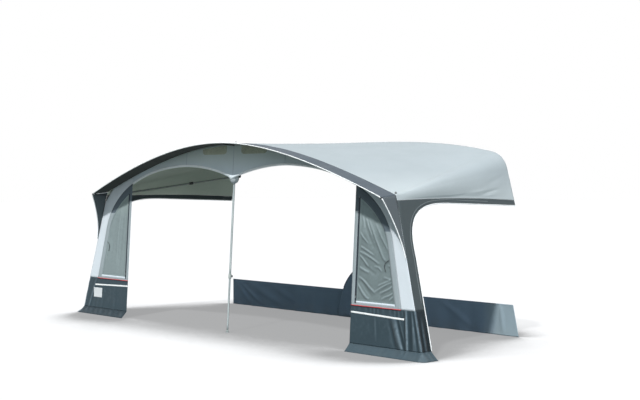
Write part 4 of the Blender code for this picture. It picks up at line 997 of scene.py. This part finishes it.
# (width, depth, points in (|x|, height)) of each fold
CURTAIN_FOLDS = {
    "left": (
        (0.035, -0.005, ((2.44, 1.75), (2.48, 1.2), (2.52, 0.70))),
        (0.045, -0.005, ((2.62, 1.50), (2.70, 1.1), (2.76, 0.75))),
        (0.022, 0.004, ((2.53, 1.60), (2.58, 1.2), (2.60, 0.72))),
        (0.020, 0.003, ((2.82, 1.30), (2.86, 1.0), (2.88, 0.80))),
    ),
    "right": (
        (0.014, 0.007, ((2.407, 1.578), (2.436, 1.482), (2.444, 1.424))),
        (0.015, 0.008, ((2.468, 1.540), (2.515, 1.439), (2.570, 1.338))),
        (0.018, 0.011, ((2.524, 1.510), (2.614, 1.340), (2.703, 1.190), (2.761, 1.098), (2.798, 1.062))),
        (0.016, 0.009, ((2.624, 1.474), (2.711, 1.343), (2.787, 1.244), (2.844, 1.165))),
        (0.013, 0.007, ((2.378, 1.383), (2.428, 1.321), (2.513, 1.253))),
        (0.013, 0.009, ((2.389, 1.216), (2.472, 1.181), (2.601, 1.123))),
        (0.014, 0.010, ((2.379, 1.158), (2.494, 1.118), (2.604, 1.072), (2.695, 1.025))),
        (0.013, 0.008, ((2.386, 1.113), (2.462, 1.052), (2.529, 0.985))),
        (0.014, 0.008, ((2.385, 0.978), (2.469, 0.944), (2.542, 0.922))),
        (0.013, 0.006, ((2.617, 0.996), (2.698, 0.981), (2.744, 0.939))),
        (0.016, 0.011, ((2.374, 0.868), (2.486, 0.810), (2.561, 0.751), (2.653, 0.693))),
        (0.018, 0.012, ((2.369, 0.790), (2.428, 0.717), (2.505, 0.645), (2.560, 0.617))),
        (0.013, 0.009, ((2.915, 0.830), (2.814, 0.792), (2.729, 0.749), (2.644, 0.705))),
        (0.013, 0.009, ((2.934, 0.800), (2.868, 0.752), (2.783, 0.715), (2.724, 0.692))),
        (0.012, 0.008, ((2.947, 0.726), (2.889, 0.684), (2.804, 0.653), (2.753, 0.631))),
        (0.012, 0.007, ((2.958, 0.683), (2.908, 0.648), (2.876, 0.621))),
        (0.010, 0.006, ((2.843, 1.020), (2.888, 0.991))),
        (0.016, 0.007, ((2.692, 0.778), (2.795, 0.816), (2.896, 0.854))),
        (0.016, 0.006, ((2.774, 0.878), (2.853, 0.864), (2.896, 0.860))),
        (0.020, -0.005, ((2.44, 1.50), (2.52, 1.34), (2.62, 1.20))),
        (0.020, -0.005, ((2.42, 1.02), (2.56, 0.95), (2.66, 0.90))),
        (0.022, -0.005, ((2.40, 0.86), (2.50, 0.74), (2.62, 0.64))),
    ),
}
CURTAIN_SEED = {"left": 3.0, "right": 17.0}
CURTAIN_SET_BACK = 0.006
CURTAIN_DEEPEST, CURTAIN_PROUDEST = -0.013, 0.004


def curtain_relief(name, rows):
    seed = CURTAIN_SEED[name]
    values = fold_map(rows, CURTAIN_FOLDS[name]) - CURTAIN_SET_BACK
    count, width = values.shape
    for i, row in enumerate(rows):
        for j, p in enumerate(row):
            a, d = j / (width - 1), i / (count - 1)
            value = values[i][j] + ripple(p, 3.5, seed) * 0.003 + ripple(p, 12.0, seed) * 0.0012
            values[i][j] = max(min(value, CURTAIN_PROUDEST), CURTAIN_DEEPEST) * inwards(a, 16) * inwards(d, 30)
    return values


# Heights where the dark cloth round the window's arch meets the pale strips, by the zip and on the far side;
# they follow the edge of the visor's shadow on each leg, so the dark cloth is partly painted shade
STRIP_JOINS = {"left": (1.684, 1.50), "right": (1.621, 1.395)}
CORNER_NOTCH = 0.15


def cut_level(mesh, heights):
    """Splits a mesh's faces at heights, so that two cloths meet in a clean line."""
    bm = bmesh.new()
    bm.from_mesh(mesh)
    for h in heights:
        bmesh.ops.bisect_plane(bm, geom=bm.verts[:] + bm.edges[:] + bm.faces[:],
                               plane_co=(0, 0, h - RAIL_HEIGHT), plane_no=UP)
    bm.to_mesh(mesh)
    bm.free()


def build_strips(name, side):
    """The strips round the window: two cloths that meet in a level line."""
    rows = between(side, window_loop(DOORWAY, LEG_INNER, SKIRT_SEAM, hem_height(LEG_INNER)),
                   window_loop(WINDOW, ZIP_NEAR, PANE_FOOT, WINDOW.height_at(ZIP_NEAR)), 4)
    strips = sheet("window_strips_" + name, rows, FRONT, "strip", ("window_frame_" + name,), "strip_cloth",
                   rippled(5.0, 2.0, 0.001), closed=True).data
    strips.materials.append(FINISHES["strip_dark"])
    cut_level(strips, STRIP_JOINS[name])
    for face in strips.polygons:
        face.material_index = int(height(face.center) > STRIP_JOINS[name][abs(face.center.x) >= ZIP_NEAR])


def build_panel(name, side):
    outer = [(x, valance_top(x)) for x in spread(LEG_INNER, CORNER_HALF - CORNER_NOTCH, 20)]
    outer += [(corner_x(h), h) for h in spread(CORNER_HEIGHT - CORNER_NOTCH, SKIRT_SEAM, 50)]
    rows = between(side, DOORWAY.run(LEG_INNER, SKIRT_SEAM, 90), evenly(outer, 90), 10)
    sheet("pale_panel_" + name, rows, FRONT, "panel", ("leg_panel_" + name,), "white_panel",
          rippled(3.0, 7.0, 0.0025, across=1.2))


def build_curtain(name, side):
    right = WINDOW.half_at(PANE_FOOT)
    tops = [WINDOW.point(angle) for angle in spread(WINDOW.angle_at(ZIP_FAR), pi / 2, 90)]
    feet = [(x, CURTAIN_FOOT) for x in spread(ZIP_FAR, right, 90)]
    rows = facing(between(side, tops, feet, 150, -LAP), FRONT)
    sheet("curtain_cloth_" + name, rows, FRONT, "curtain_" + name, ("curtain_" + name,), "curtain_cloth",
          curtain_relief(name, rows))
    hem = [on_front(side * x, PANE_FOOT + 0.0135, -0.002) for x in spread(ZIP_FAR - 0.002, right - 0.004, 30)]
    band("curtain_hem_" + name, hem, FRONT, 0.014, 0.006, "roll", (), "white_binding")


def build_zip(name, side):
    rows = [[on_front(side * x, h, 0.0006) for h in spread(PANE_FOOT, WINDOW.height_at(x) - 0.001, 40)]
            for x in spread(ZIP_NEAR, ZIP_FAR, 2)]
    sheet("zip_" + name, rows, FRONT, "zip", ("zip_tape_" + name,), "zip_tape")
    build_slider(name, side * (ZIP_NEAR + ZIP_FAR) / 2)


def build_red_cord(name, side):
    line = [on_front(side * x, SKIRT_SEAM, 0.0043) for x in spread(LEG_INNER, DOORWAY.half_at(SKIRT_SEAM), 24)]
    band("red_cord_" + name, line, FRONT, 0.0045, 0.004, "red", ("red_piping_" + name,), "red_piping")


# Outlines in (x, height) from the middle of the slider's foot
SLIDER_FOOT = 0.64
SLIDER = ((-0.004, 0), (0.004, 0), (0.005, 0.012), (0.007, 0.024), (0.007, 0.032), (-0.007, 0.032), (-0.007, 0.024),
          (-0.005, 0.012))
PULL = ((-0.003, 0.002), (0.003, 0.002), (0.0035, -0.026), (-0.0035, -0.026))


def build_slider(name, middle):
    """The zip's slider with a short pull."""
    for part, outline, forward, thick, finish, nodes, bevel in (
            ("body", SLIDER, 0.0062, 0.0045, "black", ("zip_slider_" + name,), 0.001),
            ("pull", PULL, 0.0066, 0.0015, "steel", (), 0.0006)):
        plate(f"slider_{part}_{name}", [(middle + x, SLIDER_FOOT + h) for x, h in outline], forward, thick, finish,
              nodes, "black_fitting", "slider_" + name, bevel)


# The tie's line in shares of its drop, inwards and down
TIE = ((0.0, 0.0), (0.2, 0.12), (0.42, 0.28), (0.55, 0.52), (0.52, 0.78), (0.42, 1.0))
TIE_TOP, TIE_DROP, TIE_RADIUS = 1.075, 0.12, 0.003


def build_tie(name, side):
    top_x = WINDOW.half_at(TIE_TOP) - 0.003
    line = along_curve([on_front(side * (top_x - out * TIE_DROP), TIE_TOP - down * TIE_DROP, 0.0033)
                        for out, down in TIE], 6)
    curve = tube("tie_cord_" + name, line, TIE_RADIUS, "elastic", ("curtain_tie_" + name,), "zip_tape")
    length = sum((q - p).length for p, q in zip(line, line[1:]))
    knot = knob("tie_knob_" + name, 0.0055, 0.010, line[-1] - Vector((0, 0, 0.004)), FRONT, "black")
    tuple(line[0])


# Skirts and flaps


# (share along the leg at the top, the same at the foot, width, depth, where it starts and ends down the skirt)
SKIRT_FOLDS = {
    "right": (
        (0.38, 0.38, 0.020, 0.002, 0.2, 0.9),
        (0.64, 0.74, 0.042, 0.018, 0.1, 1.3),
        (0.58, 0.66, 0.024, -0.005, 0.15, 1.2),
        (0.70, 0.775, 0.016, -0.008, 0.1, 1.3),
        (0.865, 0.81, 0.016, 0.015, -0.3, 1.4),
        (0.92, 0.86, 0.020, -0.007, -0.2, 1.3),
        (0.965, 0.95, 0.016, -0.006, -0.2, 1.3),
    ),
    "left": (
        (0.30, 0.30, 0.030, 0.0015, 0.2, 1.3),
        (0.55, 0.60, 0.030, 0.0015, 0.2, 1.3),
        (0.82, 0.88, 0.022, 0.006, -0.1, 1.3),
        (0.70, 0.74, 0.025, -0.0015, 0.2, 1.3),
    ),
}
SKIRT_REACH = 0.85
PLEAT_PITCH = 0.075
PLEAT_DEPTH = {"left": 0.0002, "right": 0.001}
RETURN_FOLD = 0.007
FLAP_TURN = 0.03
FLAP_WAVES = {"left": (0.0055, 21), "right": (0.0012, 26)}
STRIPE_OUTER, STRIPE_HEIGHTS = 3.12, (0.454, 0.430)


def skirt_push(name, share, t):
    """How far the skirt stands out of its plane at a share of the leg's width, t down from its top."""
    value = 0.0
    for top, foot, width, depth, start, end in SKIRT_FOLDS[name]:
        if start < t < end:
            off = (share - lerp(top, foot, t)) * SKIRT_REACH / width
            value += depth * sin(pi * (t - start) / (end - start)) * exp(-off * off)
    pleat = cos(2 * pi * (share + 0.02 * sin(17 * share)) / PLEAT_PITCH)
    fade = smooth(share * 5) * smooth((0.92 - share) * 12) * max(1 - t * 3.2, 0) * (t * 14 if t < 0.07 else 1)
    return (value + PLEAT_DEPTH[name] * pleat * fade) * smooth(share * 14) * smooth((1 - share) * 30)


def down_skirt(h):
    return (SKIRT_TOP - h) / (SKIRT_TOP - FLAP_TOP)


def on_skirt(name, side, x, h, forward=0.0):
    push = skirt_push(name, (x - LEG_INNER) / (corner_x(h) - LEG_INNER), down_skirt(h))
    return on_front(side * x, h, push + forward)


def skirt_line(name, side, h, t, flare=0.0):
    """The leg's line in plan at a height with its folds, from the inner edge round the corner."""
    y, reach = front_y(h), corner_x(h) - LEG_INNER
    points = []
    for run in spread(0.0, reach + RETURN_WIDTH, 180):
        back = run - reach
        if back <= 0:
            points.append(on_front(side * (LEG_INNER + run), h, skirt_push(name, run / reach, t) + flare))
        else:
            depth = RETURN_FOLD * smooth(t * 1.6) * (1 - cos(4 * pi * back / RETURN_WIDTH)) / 2
            p = on_side(side, y + back, h, flare * smooth(back / FLAP_TURN + 0.5) - depth)
            points.append(p - Vector((0, flare * max(1 - back / FLAP_TURN, 0), 0)))
    return points


def build_skirt(name, side):
    rows = [skirt_line(name, side, lerp(SKIRT_TOP, FLAP_TOP, t), t) for t in spread(0.0, 1.0, 34)]
    skirt = sheet("skirt_cloth_" + name, rows, FRONT, "skirt", ("skirt_" + name,), "skirt_cloth",
                  rippled(5.0, 4.0, 0.002)).data
    # Painted shade: faces that look sideways take the darker copy of the skirt cloth
    skirt.materials.append(FINISHES["skirt_side"])
    for face in skirt.polygons:
        face.material_index = int(abs(face.normal.x) > 0.75)
    rows = [skirt_line(name, side, lerp(FLAP_TOP + 0.001, 0.0, t), 1 + 0.29 * t, FLAP_FLARE * t ** 1.15)
            for t in spread(0.0, 1.0, 8)]
    rows[0] = [p + Vector((0, 0.0006, 0)) for p in rows[0]]
    depth, pitch = FLAP_WAVES[name]

    def relief(p, a, d):
        along = (p.x if a < 0.85 else p.y) * pitch
        wave = sin(along) * 0.6 + sin(along * 2.3 + 1.3 + d * 3) * 0.4
        return depth * wave * sin(pi * min(d, 0.85)) * inwards(a, 20)

    sheet("flap_cloth_" + name, rows, FRONT, "flap_" + name, ("mud_flap_" + name,), "skirt_cloth",
          relief)
    stripe = [on_skirt(name, side, x, h, 0.0016)
              for x, h in zip(spread(LEG_INNER + 0.002, STRIPE_OUTER, 60), spread(*STRIPE_HEIGHTS, 60))]
    band("skirt_stripe_" + name, stripe, FRONT, 0.0105, 0.0016, "white", (), "white_binding")


# Sides


def return_line(top, foot):
    return [(front_y(h) + RETURN_WIDTH, h) for h in spread(top, foot, 20)[1:]]


def side_opening(steps):
    """(y, height) along the side opening's edge, from the wall to the foot of the return."""
    points = list(zip(spread(-WALL_EDGE, -SIDE_BEND_Y, 20), spread(SIDE_TOP_REAR, SIDE_TOP, 20)))[:-1]
    spring_y = front_y(SIDE_SPRING) + RETURN_WIDTH
    for angle in spread(0.0, pi / 2, 60):
        out, up = (max(part(angle), 0) ** (2 / 3) for part in (sin, cos))
        points.append((lerp(-SIDE_BEND_Y, spring_y, out), lerp(SIDE_SPRING, SIDE_TOP, up)))
    return evenly(points + return_line(SIDE_SPRING, SKIRT_TOP), steps)


def beside_opening(side, line, step, out):
    """The line of (y, height) on the side wall, moved across its run and out."""
    return [on_side(side, p.x - run.y * step, p.y + run.x * step, out) for p, run in runs([Vector(q) for q in line])]


SIDE_STEPS, SIDE_TOP_STEPS = 120, 67
PIPING_STEP, SEAM_STEP, SEAM_RUN = 0.0066, -0.034, slice(22, 118)


def build_side(name, side):
    opening = side_opening(SIDE_STEPS)
    drop = Vector((0, 0, 0.0005 + CLOTH * LEG_LEAN))
    edge = [row[0 if side < 0 else -1] - drop for row in roof_rows(60)]
    leg = [on_side(side, front_y(h) + CLOTH_INSET, h) for h in spread(height(edge[-1]), SKIRT_SEAM, 60)]
    outer = evenly(edge[:-1] + leg[:1], SIDE_TOP_STEPS) + evenly(leg, SIDE_STEPS - SIDE_TOP_STEPS)[1:]
    rows = [[lerp(Vector(a), on_side(side, y, h), t) for a, (y, h) in zip(outer, opening)]
            for t in spread(0.0, 1.0, 8)]
    sheet("side_cloth_" + name, rows, (side, 0, 0), "side", ("side_panel_" + name,), "band_cloth",
          rippled(3.0, 6.0, 0.003, 0.001, 1.1), inside="side_inside")
    line = opening + return_line(SKIRT_TOP, FLAP_TOP + 0.006)
    piping = beside_opening(side, line, PIPING_STEP, -0.001)
    piping[0].y -= PIPING
    tube("opening_edge_" + name, piping, PIPING, "white", ("opening_piping_" + name,), "white_binding")
    seam = beside_opening(side, line, SEAM_STEP, 0.0008)[SEAM_RUN]
    band("opening_seam_" + name, seam, (side, 0, 0), 0.0035, SEAM, "side_seam", (), "band_cloth", 6)


# The draught skirt and wheel cover against the caravan


DRAUGHT_FOLDS = (
    ((-2.70, 0.38), (-2.36, 0.03), 0.035, 0.022),
    ((-2.62, 0.36), (-2.05, 0.03), 0.030, 0.020),
    ((-2.44, 0.39), (-1.60, 0.06), 0.060, 0.020),
    ((-1.98, 0.41), (-1.30, 0.14), 0.050, 0.014),
    ((0.70, 0.38), (1.35, 0.08), 0.050, 0.009),
    ((1.55, 0.40), (2.15, 0.06), 0.045, 0.010),
    ((2.60, 0.40), (2.66, 0.00), 0.030, 0.012),
)
DRAUGHT_PITCH, DRAUGHT_PLEAT, DRAUGHT_FLARE = 0.35, 0.012, 0.09
WHEEL_Y, WHEEL_CUT = -0.0163, 0.033


def draught_relief(p, across, down):
    return ripple(p, 3.0, 8.0) * 0.0012 * down + creases(p.x, height(p), DRAUGHT_FOLDS) * smooth(down * 6)


def wheel_relief(p, across, down):
    return max(ripple(p, 3.5, 12.0) * 0.001, -0.001)


def build_draught():
    rows = []
    for t in spread(0.0, 1.0, 32):
        row = []
        for x in spread(-DRAUGHT_HALF, DRAUGHT_HALF, 400):
            pleat = DRAUGHT_PLEAT * t * (1 - cos(2 * pi * (x + DRAUGHT_HALF) / DRAUGHT_PITCH)) / 2
            flare = DRAUGHT_FLARE * t * smooth((x - DRAUGHT_HALF) / DRAUGHT_PITCH + 1)
            row.append(at(x + flare, -0.002 - pleat, lerp(DRAUGHT_HEIGHT, 0, t)))
        rows.append(row)
    sheet("draught_cloth", rows, FRONT, "draught", ("draught_skirt",), "draught_cloth", draught_relief)
    angles = spread(pi * (1 - WHEEL_CUT), pi * WHEEL_CUT, 60)
    outer = [(WHEEL_X + WHEEL_HALF * cos(t), WHEEL_HEIGHT * sin(t)) for t in angles]
    rows = [[at(x, WHEEL_Y, h * share) for x, h in outer] for share in spread(0.0, 1.0, 12)]
    sheet("wheel_cover_cloth", rows, FRONT, "draught", ("wheel_cover",), "draught_cloth", wheel_relief)
    edge = [at(x, WHEEL_Y + 0.001, h) for x, h in outer if h > DRAUGHT_HEIGHT]
    band("wheel_cover_binding", edge, FRONT, 0.006, 0.0035, "navy_trim", (), "draught_cloth")


# The pole frame


POLE, INNER_POLE, SPIGOT, STRUT = 0.014, 0.0123, 0.004, 0.0058
HUB_RADIUS, SOCKET_RADIUS, CLAMP_RADIUS = 0.022, 0.0172, 0.0208
POLE_GAP, TUBE_GAP = 0.048, 0.004
POLE_BACK, CROWN_DROP = 0.03, 0.027
CORNER_DROP, CORNER_INSET, FOOT_INSET = 0.052, 0.036, 0.05
WALL_DROP, WALL_INSET, WALL_GAP = 0.47, 0.099, 0.012
SOCKET_MOUTH, SOCKET_START = 0.047, 0.012
STRUT_START, STRUT_INSET, STRUT_DROP, CORNER_STRUT_DROP = 0.0223, 0.022, 0.0086, 0.0113
CLAMP_HEIGHT, CLAMP_LENGTH, OVERLAP = 0.699, 0.066, 0.36
RAFTER_CLAMP = 0.62
SPIGOT_REACH = 0.028
KNOB_ALONG, KNOB_OUT, STEM_BACK = 0.031, 0.0126, 0.0092
# Radius and length of each turned piece
FOOT_PAD, FOOT_BOSS, WALL_PAD = (0.0275, 0.005), (0.0158, 0.026), (0.0295, 0.0175)
CLAMP_KNOB, KNOB_STEM = (0.0148, 0.0118), (0.005, 0.008)
CORNER_CAP, SPIGOT_COLLAR, SPIGOT_TIP = (0.011, 0.02), (0.013, 0.018), (0.0046, 0.008)


def pipe(name, points, radius, finish, nodes, body=BODY, slot="pole_steel"):
    """A round tube along points with softly closed ends."""
    rows = []
    for p, run in runs(points):
        s = Vector((0, 1, 0)).cross(run)
        s = s.normalized() if s.length > 0.2 else Vector((1, 0, 0)).cross(run).normalized()
        rows.append(ring(p, s, run.cross(s), radius, radius, 28))
    return solid(name, capped(rows, points[0], points[-1], 0.001), finish, nodes, slot, body)


def pole_y(h):
    return front_y(h) + POLE_BACK


def hub_at(side):
    if side:
        h = CORNER_HEIGHT - CORNER_DROP
        return at(side * (CORNER_HALF - CORNER_INSET), front_y(h) + CORNER_INSET, h)
    h = ARCH_HEIGHT - CROWN_DROP
    return at(0, pole_y(h), h)


def foot_at(side):
    if side:
        return at(side * (LEG_FOOT_HALF - FOOT_INSET), front_y(0) + FOOT_INSET, 0)
    return at(0, pole_y(0), 0)


def wall_at(side):
    h = RAIL_HEIGHT - WALL_DROP
    return at(side * (side_x(0, h) - WALL_INSET), -WALL_GAP, h)


def arch_pole(side):
    hubs = hub_at(0), hub_at(side)
    heights = [(x, under_arch(x, 0.02)) for x in spread(0.0, CORNER_HALF, 40)[1:-1]]
    line = [at(side * x, pole_y(h), h) for x, h in heights]
    line = [p for p in line if min((p - hub).length for hub in hubs) > 0.09]
    start, end = (hub + (p - hub).normalized() * POLE_GAP for hub, p in zip(hubs, (line[0], line[-1])))
    return [start] + line + [end]


def build_joint(name, node, centre, targets, tip):
    """A moulded hub with a socket for each pole, and the spigot that comes through the visor."""
    globe = [(sin(lat), cos(lat)) for lat in spread(-pi / 2, pi / 2, 16)[1:-1]]
    turned(name + "_ball", HUB_RADIUS, centre, Vector(UP) * HUB_RADIUS, globe, "black", (node,), "black_fitting")
    for k, target in enumerate(targets):
        run = (target - centre).normalized()
        collar(f"{name}_socket_{k}", centre + run * SOCKET_MOUTH, centre + run * SOCKET_START, SOCKET_RADIUS)
    pipe(name + "_spigot", spread(centre, tip, 4), SPIGOT, "steel", ())
    knob(name + "_spigot_tip", *SPIGOT_TIP, tip - Vector(UP) * SPIGOT_TIP[1] / 2, UP, "black")


def build_telescope(name, start, clamp, top, body, nodes, steel="steel", clamp_finish="collar"):
    """An outer tube with its clamp and the inner tube that slides in it."""
    run = (top - start).normalized()
    pipe("outer_" + name, spread(clamp + run * TUBE_GAP, top, 12), POLE, steel, nodes[:1])
    collar("clamp_" + name, clamp, clamp + run * CLAMP_LENGTH, CLAMP_RADIUS, clamp_finish)
    pipe("inner_" + name, spread(start + run * TUBE_GAP, clamp + run * OVERLAP, 12), INNER_POLE, steel, nodes[1:], body)


def build_upright(name, hub, foot, out):
    run = (hub - foot).normalized()
    clamp = foot + run * CLAMP_HEIGHT
    piece, body = "upright_" + name, "foot_" + name
    build_telescope(piece, foot, clamp, hub - run * POLE_GAP, body, (piece, "upright_foot_" + name))
    pad = foot + Vector(UP) * FOOT_PAD[1] / 2
    boss = foot + Vector(UP) * (FOOT_PAD[1] + FOOT_BOSS[1] / 2)
    knob("foot_pad_" + piece, *FOOT_PAD, pad, UP, "steel", body, slot="pole_steel")
    knob("foot_boss_" + piece, *FOOT_BOSS, boss, UP, "collar", body)
    out = (out - run * out.dot(run)).normalized()
    centre = clamp + run * KNOB_ALONG + out * (CLAMP_RADIUS + KNOB_OUT)
    knob("knob_" + name, *CLAMP_KNOB, centre, out, "black", "knob_" + name, ("clamp_knob_" + name,), lobes=6)
    knob("knob_stem_" + name, *KNOB_STEM, centre - out * STEM_BACK, out, "steel", "knob_" + name)


def build_rafter(name, hub, wall):
    piece, body = "rafter_" + name, "rafter_end_" + name
    top = hub - (hub - wall).normalized() * POLE_GAP
    build_telescope(piece, wall, lerp(hub, wall, RAFTER_CLAMP), top, body, (piece, body), "dull_steel", "black")
    knob("pad_" + piece, *WALL_PAD, Vector((wall.x, -0.009, wall.z)), (0, 1, 0), "black", body)


def build_frame():
    for name, side in (("centre", 0),) + SIDES:
        hub, foot = hub_at(side), foot_at(side)
        build_upright(name, hub, foot, Vector((-side, 0, 0)) if side else Vector((0, 1, 0)))
        tip = hub + Vector((0, 0, arch_height(hub.x) - height(hub) + SPIGOT_REACH))
        if side:
            wall, line = wall_at(side), arch_pole(side)
            build_joint("corner_" + name, "corner_joint_" + name, hub, [line[-2], foot, wall], tip)
            pipe("arch_tube_" + name, line, POLE, "steel", ("arch_pole_" + name,))
            build_rafter(name, hub, wall)
            drop = CORNER_STRUT_DROP * hypot(1, slope_of(arch_height, CORNER_HALF - 0.021))
            end = visor_point(side * (CORNER_HALF - STRUT_INSET), 1) + Vector((0, STRUT_INSET, -drop))
            cap = visor_point(side * (CORNER_HALF - 0.008), 1) + Vector((0, -0.002, -0.006))
            knob("corner_cap_" + name, *CORNER_CAP, cap, (side, -0.6, 0.1), "black")
            knob("spigot_collar_" + name, *SPIGOT_COLLAR, tip - Vector((0, 0, 0.02)), UP, "black")
        else:
            build_joint("centre_hub", "centre_joint", hub, [arch_pole(-1)[1], arch_pole(1)[1], foot], tip)
            end = visor_point(0, 1) + Vector((0, STRUT_INSET, -STRUT_DROP))
        start = hub + (end - hub).normalized() * STRUT_START
        pipe("strut_" + name, spread(start, end, 4), STRUT, "black", ("visor_strut_" + name,), slot="black_fitting")


# Cup and label


# (height, radius) from the foot up
CUP = ((1.936, 0.0155), (1.936, 0.021), (1.944, 0.034), (1.956, 0.046), (1.972, 0.055), (1.990, 0.060),
       (2.008, 0.062), (2.026, 0.062))
RIBBON_HALF = 0.213
LABEL_TOP, LABEL_FOOT, LABEL_WIDTH, LABEL_INSET = 0.385, 0.245, 0.215, 0.17


def thin_piece(name, rows, thickness, finish, nodes, slot):
    piece = place(name, grid_mesh(name, facing(rows, FRONT)), finish, nodes, slot)
    return modified(piece, "SOLIDIFY", thickness=thickness)


def build_cup():
    """The white cup: a pleated bowl round the pole, and the ends of the hem crossing over it as a ribbon."""
    rows = [ring(at(0, pole_y(h), h), Vector((1, 0, 0)), Vector((0, 1, 0)), radius, radius, 72, 12,
                 0.05 * smooth((radius - 0.02) / 0.03)) for h, radius in CUP]
    modified(solid("cup_bowl", rows, "cup", ("centre_cup",), "white_binding"), "SOLIDIFY", thickness=0.002)
    rows = []
    for v in spread(0.0, 1.0, 14):
        row = []
        for u in spread(-1.0, 1.0, 80):
            wide = abs(u)
            h = lerp(lerp(2.040, 2.072, wide ** 1.3), lerp(1.990, 2.064, wide ** 0.8), v)
            bulge = 0.011 + 0.024 * smooth((0.42 - wide) / 0.42) + 0.006 * sin(pi * v) * (1 - wide)
            pleat = 0.0018 * cos(11 * wide + v * 3.0) * (1 - wide) * sin(pi * v)
            row.append(on_front(u * RIBBON_HALF, h, bulge + pleat))
        rows.append(row)
    thin_piece("cup_ribbon", rows, 0.0018, "cup", (), "white_binding")


def build_label():
    """The blank label follows the folds of the skirt it is sewn on."""
    outer = corner_x(LABEL_TOP) - LABEL_INSET
    rows = []
    for h in spread(LABEL_TOP, LABEL_FOOT, 20):
        row = [on_skirt("left", -1, x, h) for x in spread(outer, outer - LABEL_WIDTH, 30)]
        fade = sin(pi * down_skirt(h))
        rows.append([p - Vector((0, 0.0009 + ripple(p, 5.0, 4.0) * 0.002 * fade, 0)) for p in row])
    thin_piece("blank_patch", rows, 0.0007, "label", ("label_patch",), "label_patch")


# Floor, light and camera


FLOOR_HALF, FLOOR_GAP = 90.0, 0.001
# (name, strength, width in degrees, colour, direction)
SUNS = (
    ("key", 3.55, 3.5, (1.0, 0.995, 0.985), (-0.386, 1.0, -1.45)),
    ("fill", 1.4, 50.0, (0.93, 0.97, 1.0), (-1.0, 0.35, -0.25)),
)
EYE, EYE_TURN, EYE_TILT = (12.0, -12.040, -0.565), 46.70158, -0.85244


def build_floor():
    """A pale floor that the camera sees as white, with a soft shadow painted from ambient occlusion under the awning.
    """
    low = -RAIL_HEIGHT - FLOOR_GAP
    floor = bpy.data.meshes.new("floor")
    corners = [(x * FLOOR_HALF, y * FLOOR_HALF, low) for x, y in ((-1, -1), (1, -1), (1, 1), (-1, 1))]
    floor.from_pydata(corners, [], [(0, 1, 2, 3)])
    finish = Finish("floor_paint")
    seen = finish.pictured()
    # Painted shadow: ambient occlusion darkens the floor's colour and glow under the awning
    open_sky = finish.node("AmbientOcclusion", {"Distance": 3.2}, samples=32).outputs["AO"]
    painted_shadow_tone = finish.ramp(open_sky, 0.40, 1.0, 0.75, 0.87)
    pale = finish.tint((0.14, 0.1415, 0.145, 1), painted_shadow_tone, BLACK, WHITE)
    finish.made(Base_Color=finish.mix(seen, (0.165, 0.19, 0.185, 1), pale), Roughness=0.9, Specular_IOR_Level=0.1)
    glow = finish.node("Emission", {"Color": (0.985, 0.99, 1.0, 1), "Strength": finish.times(seen, painted_shadow_tone, 0.85)})
    both = finish.node("AddShader", {0: finish.shader.outputs[0], 1: glow.outputs[0]})
    finish.feed(finish.tree.nodes["Material Output"].inputs["Surface"], both.outputs[0])
    floor.materials.append(finish.material)
    linked("floor", floor)


def build_world():
    """A soft sky that lights the awning, and white where the camera looks past it."""
    world = bpy.data.worlds.new("studio")
    bpy.context.scene.world = world
    world.use_nodes = True
    sky = Nodes(world.node_tree)
    lit = sky.tree.nodes["Background"]
    sky.feed(lit.inputs["Color"], (0.80, 0.95, 1.0, 1))
    sky.feed(lit.inputs["Strength"], 0.26)
    white = sky.node("Background", {"Color": WHITE, "Strength": 1.0})
    mix = sky.node("MixShader", {0: sky.pictured(), 1: lit.outputs[0], 2: white.outputs[0]})
    sky.feed(sky.tree.nodes["World Output"].inputs["Surface"], mix.outputs[0])


def build_lights():
    for name, energy, angle, tint, direction in SUNS:
        sun = bpy.data.lights.new(name, "SUN")
        sun.energy = energy
        sun.angle = radians(angle)
        sun.color = tint
        linked(name, sun).rotation_euler = Vector(direction).to_track_quat("-Z", "Y").to_euler()


def build_camera():
    camera = bpy.data.cameras.new("camera")
    camera.lens = 66.5
    camera.shift_x, camera.shift_y = 0.0008, -0.0005
    camera.sensor_width = 36
    camera.clip_end = 300
    eye = linked("camera", camera)
    turn, tilt = radians(EYE_TURN), radians(EYE_TILT)
    eye.location = EYE
    look = Vector((-sin(turn) * cos(tilt), cos(turn) * cos(tilt), sin(tilt)))
    eye.rotation_euler = look.to_track_quat("-Z", "Y").to_euler()
    bpy.context.scene.camera = eye
    bpy.context.scene.view_settings.view_transform = "Standard"


build_floor()
build_world()
build_lights()
build_camera()
build_frame()
build_top()
build_valance()
build_cup()
for side_name, side_sign in SIDES:
    for build in (build_strips, build_panel, build_curtain, build_zip, build_red_cord, build_tie, build_skirt,
                  build_side):
        build(side_name, side_sign)
build_label()
build_draught()
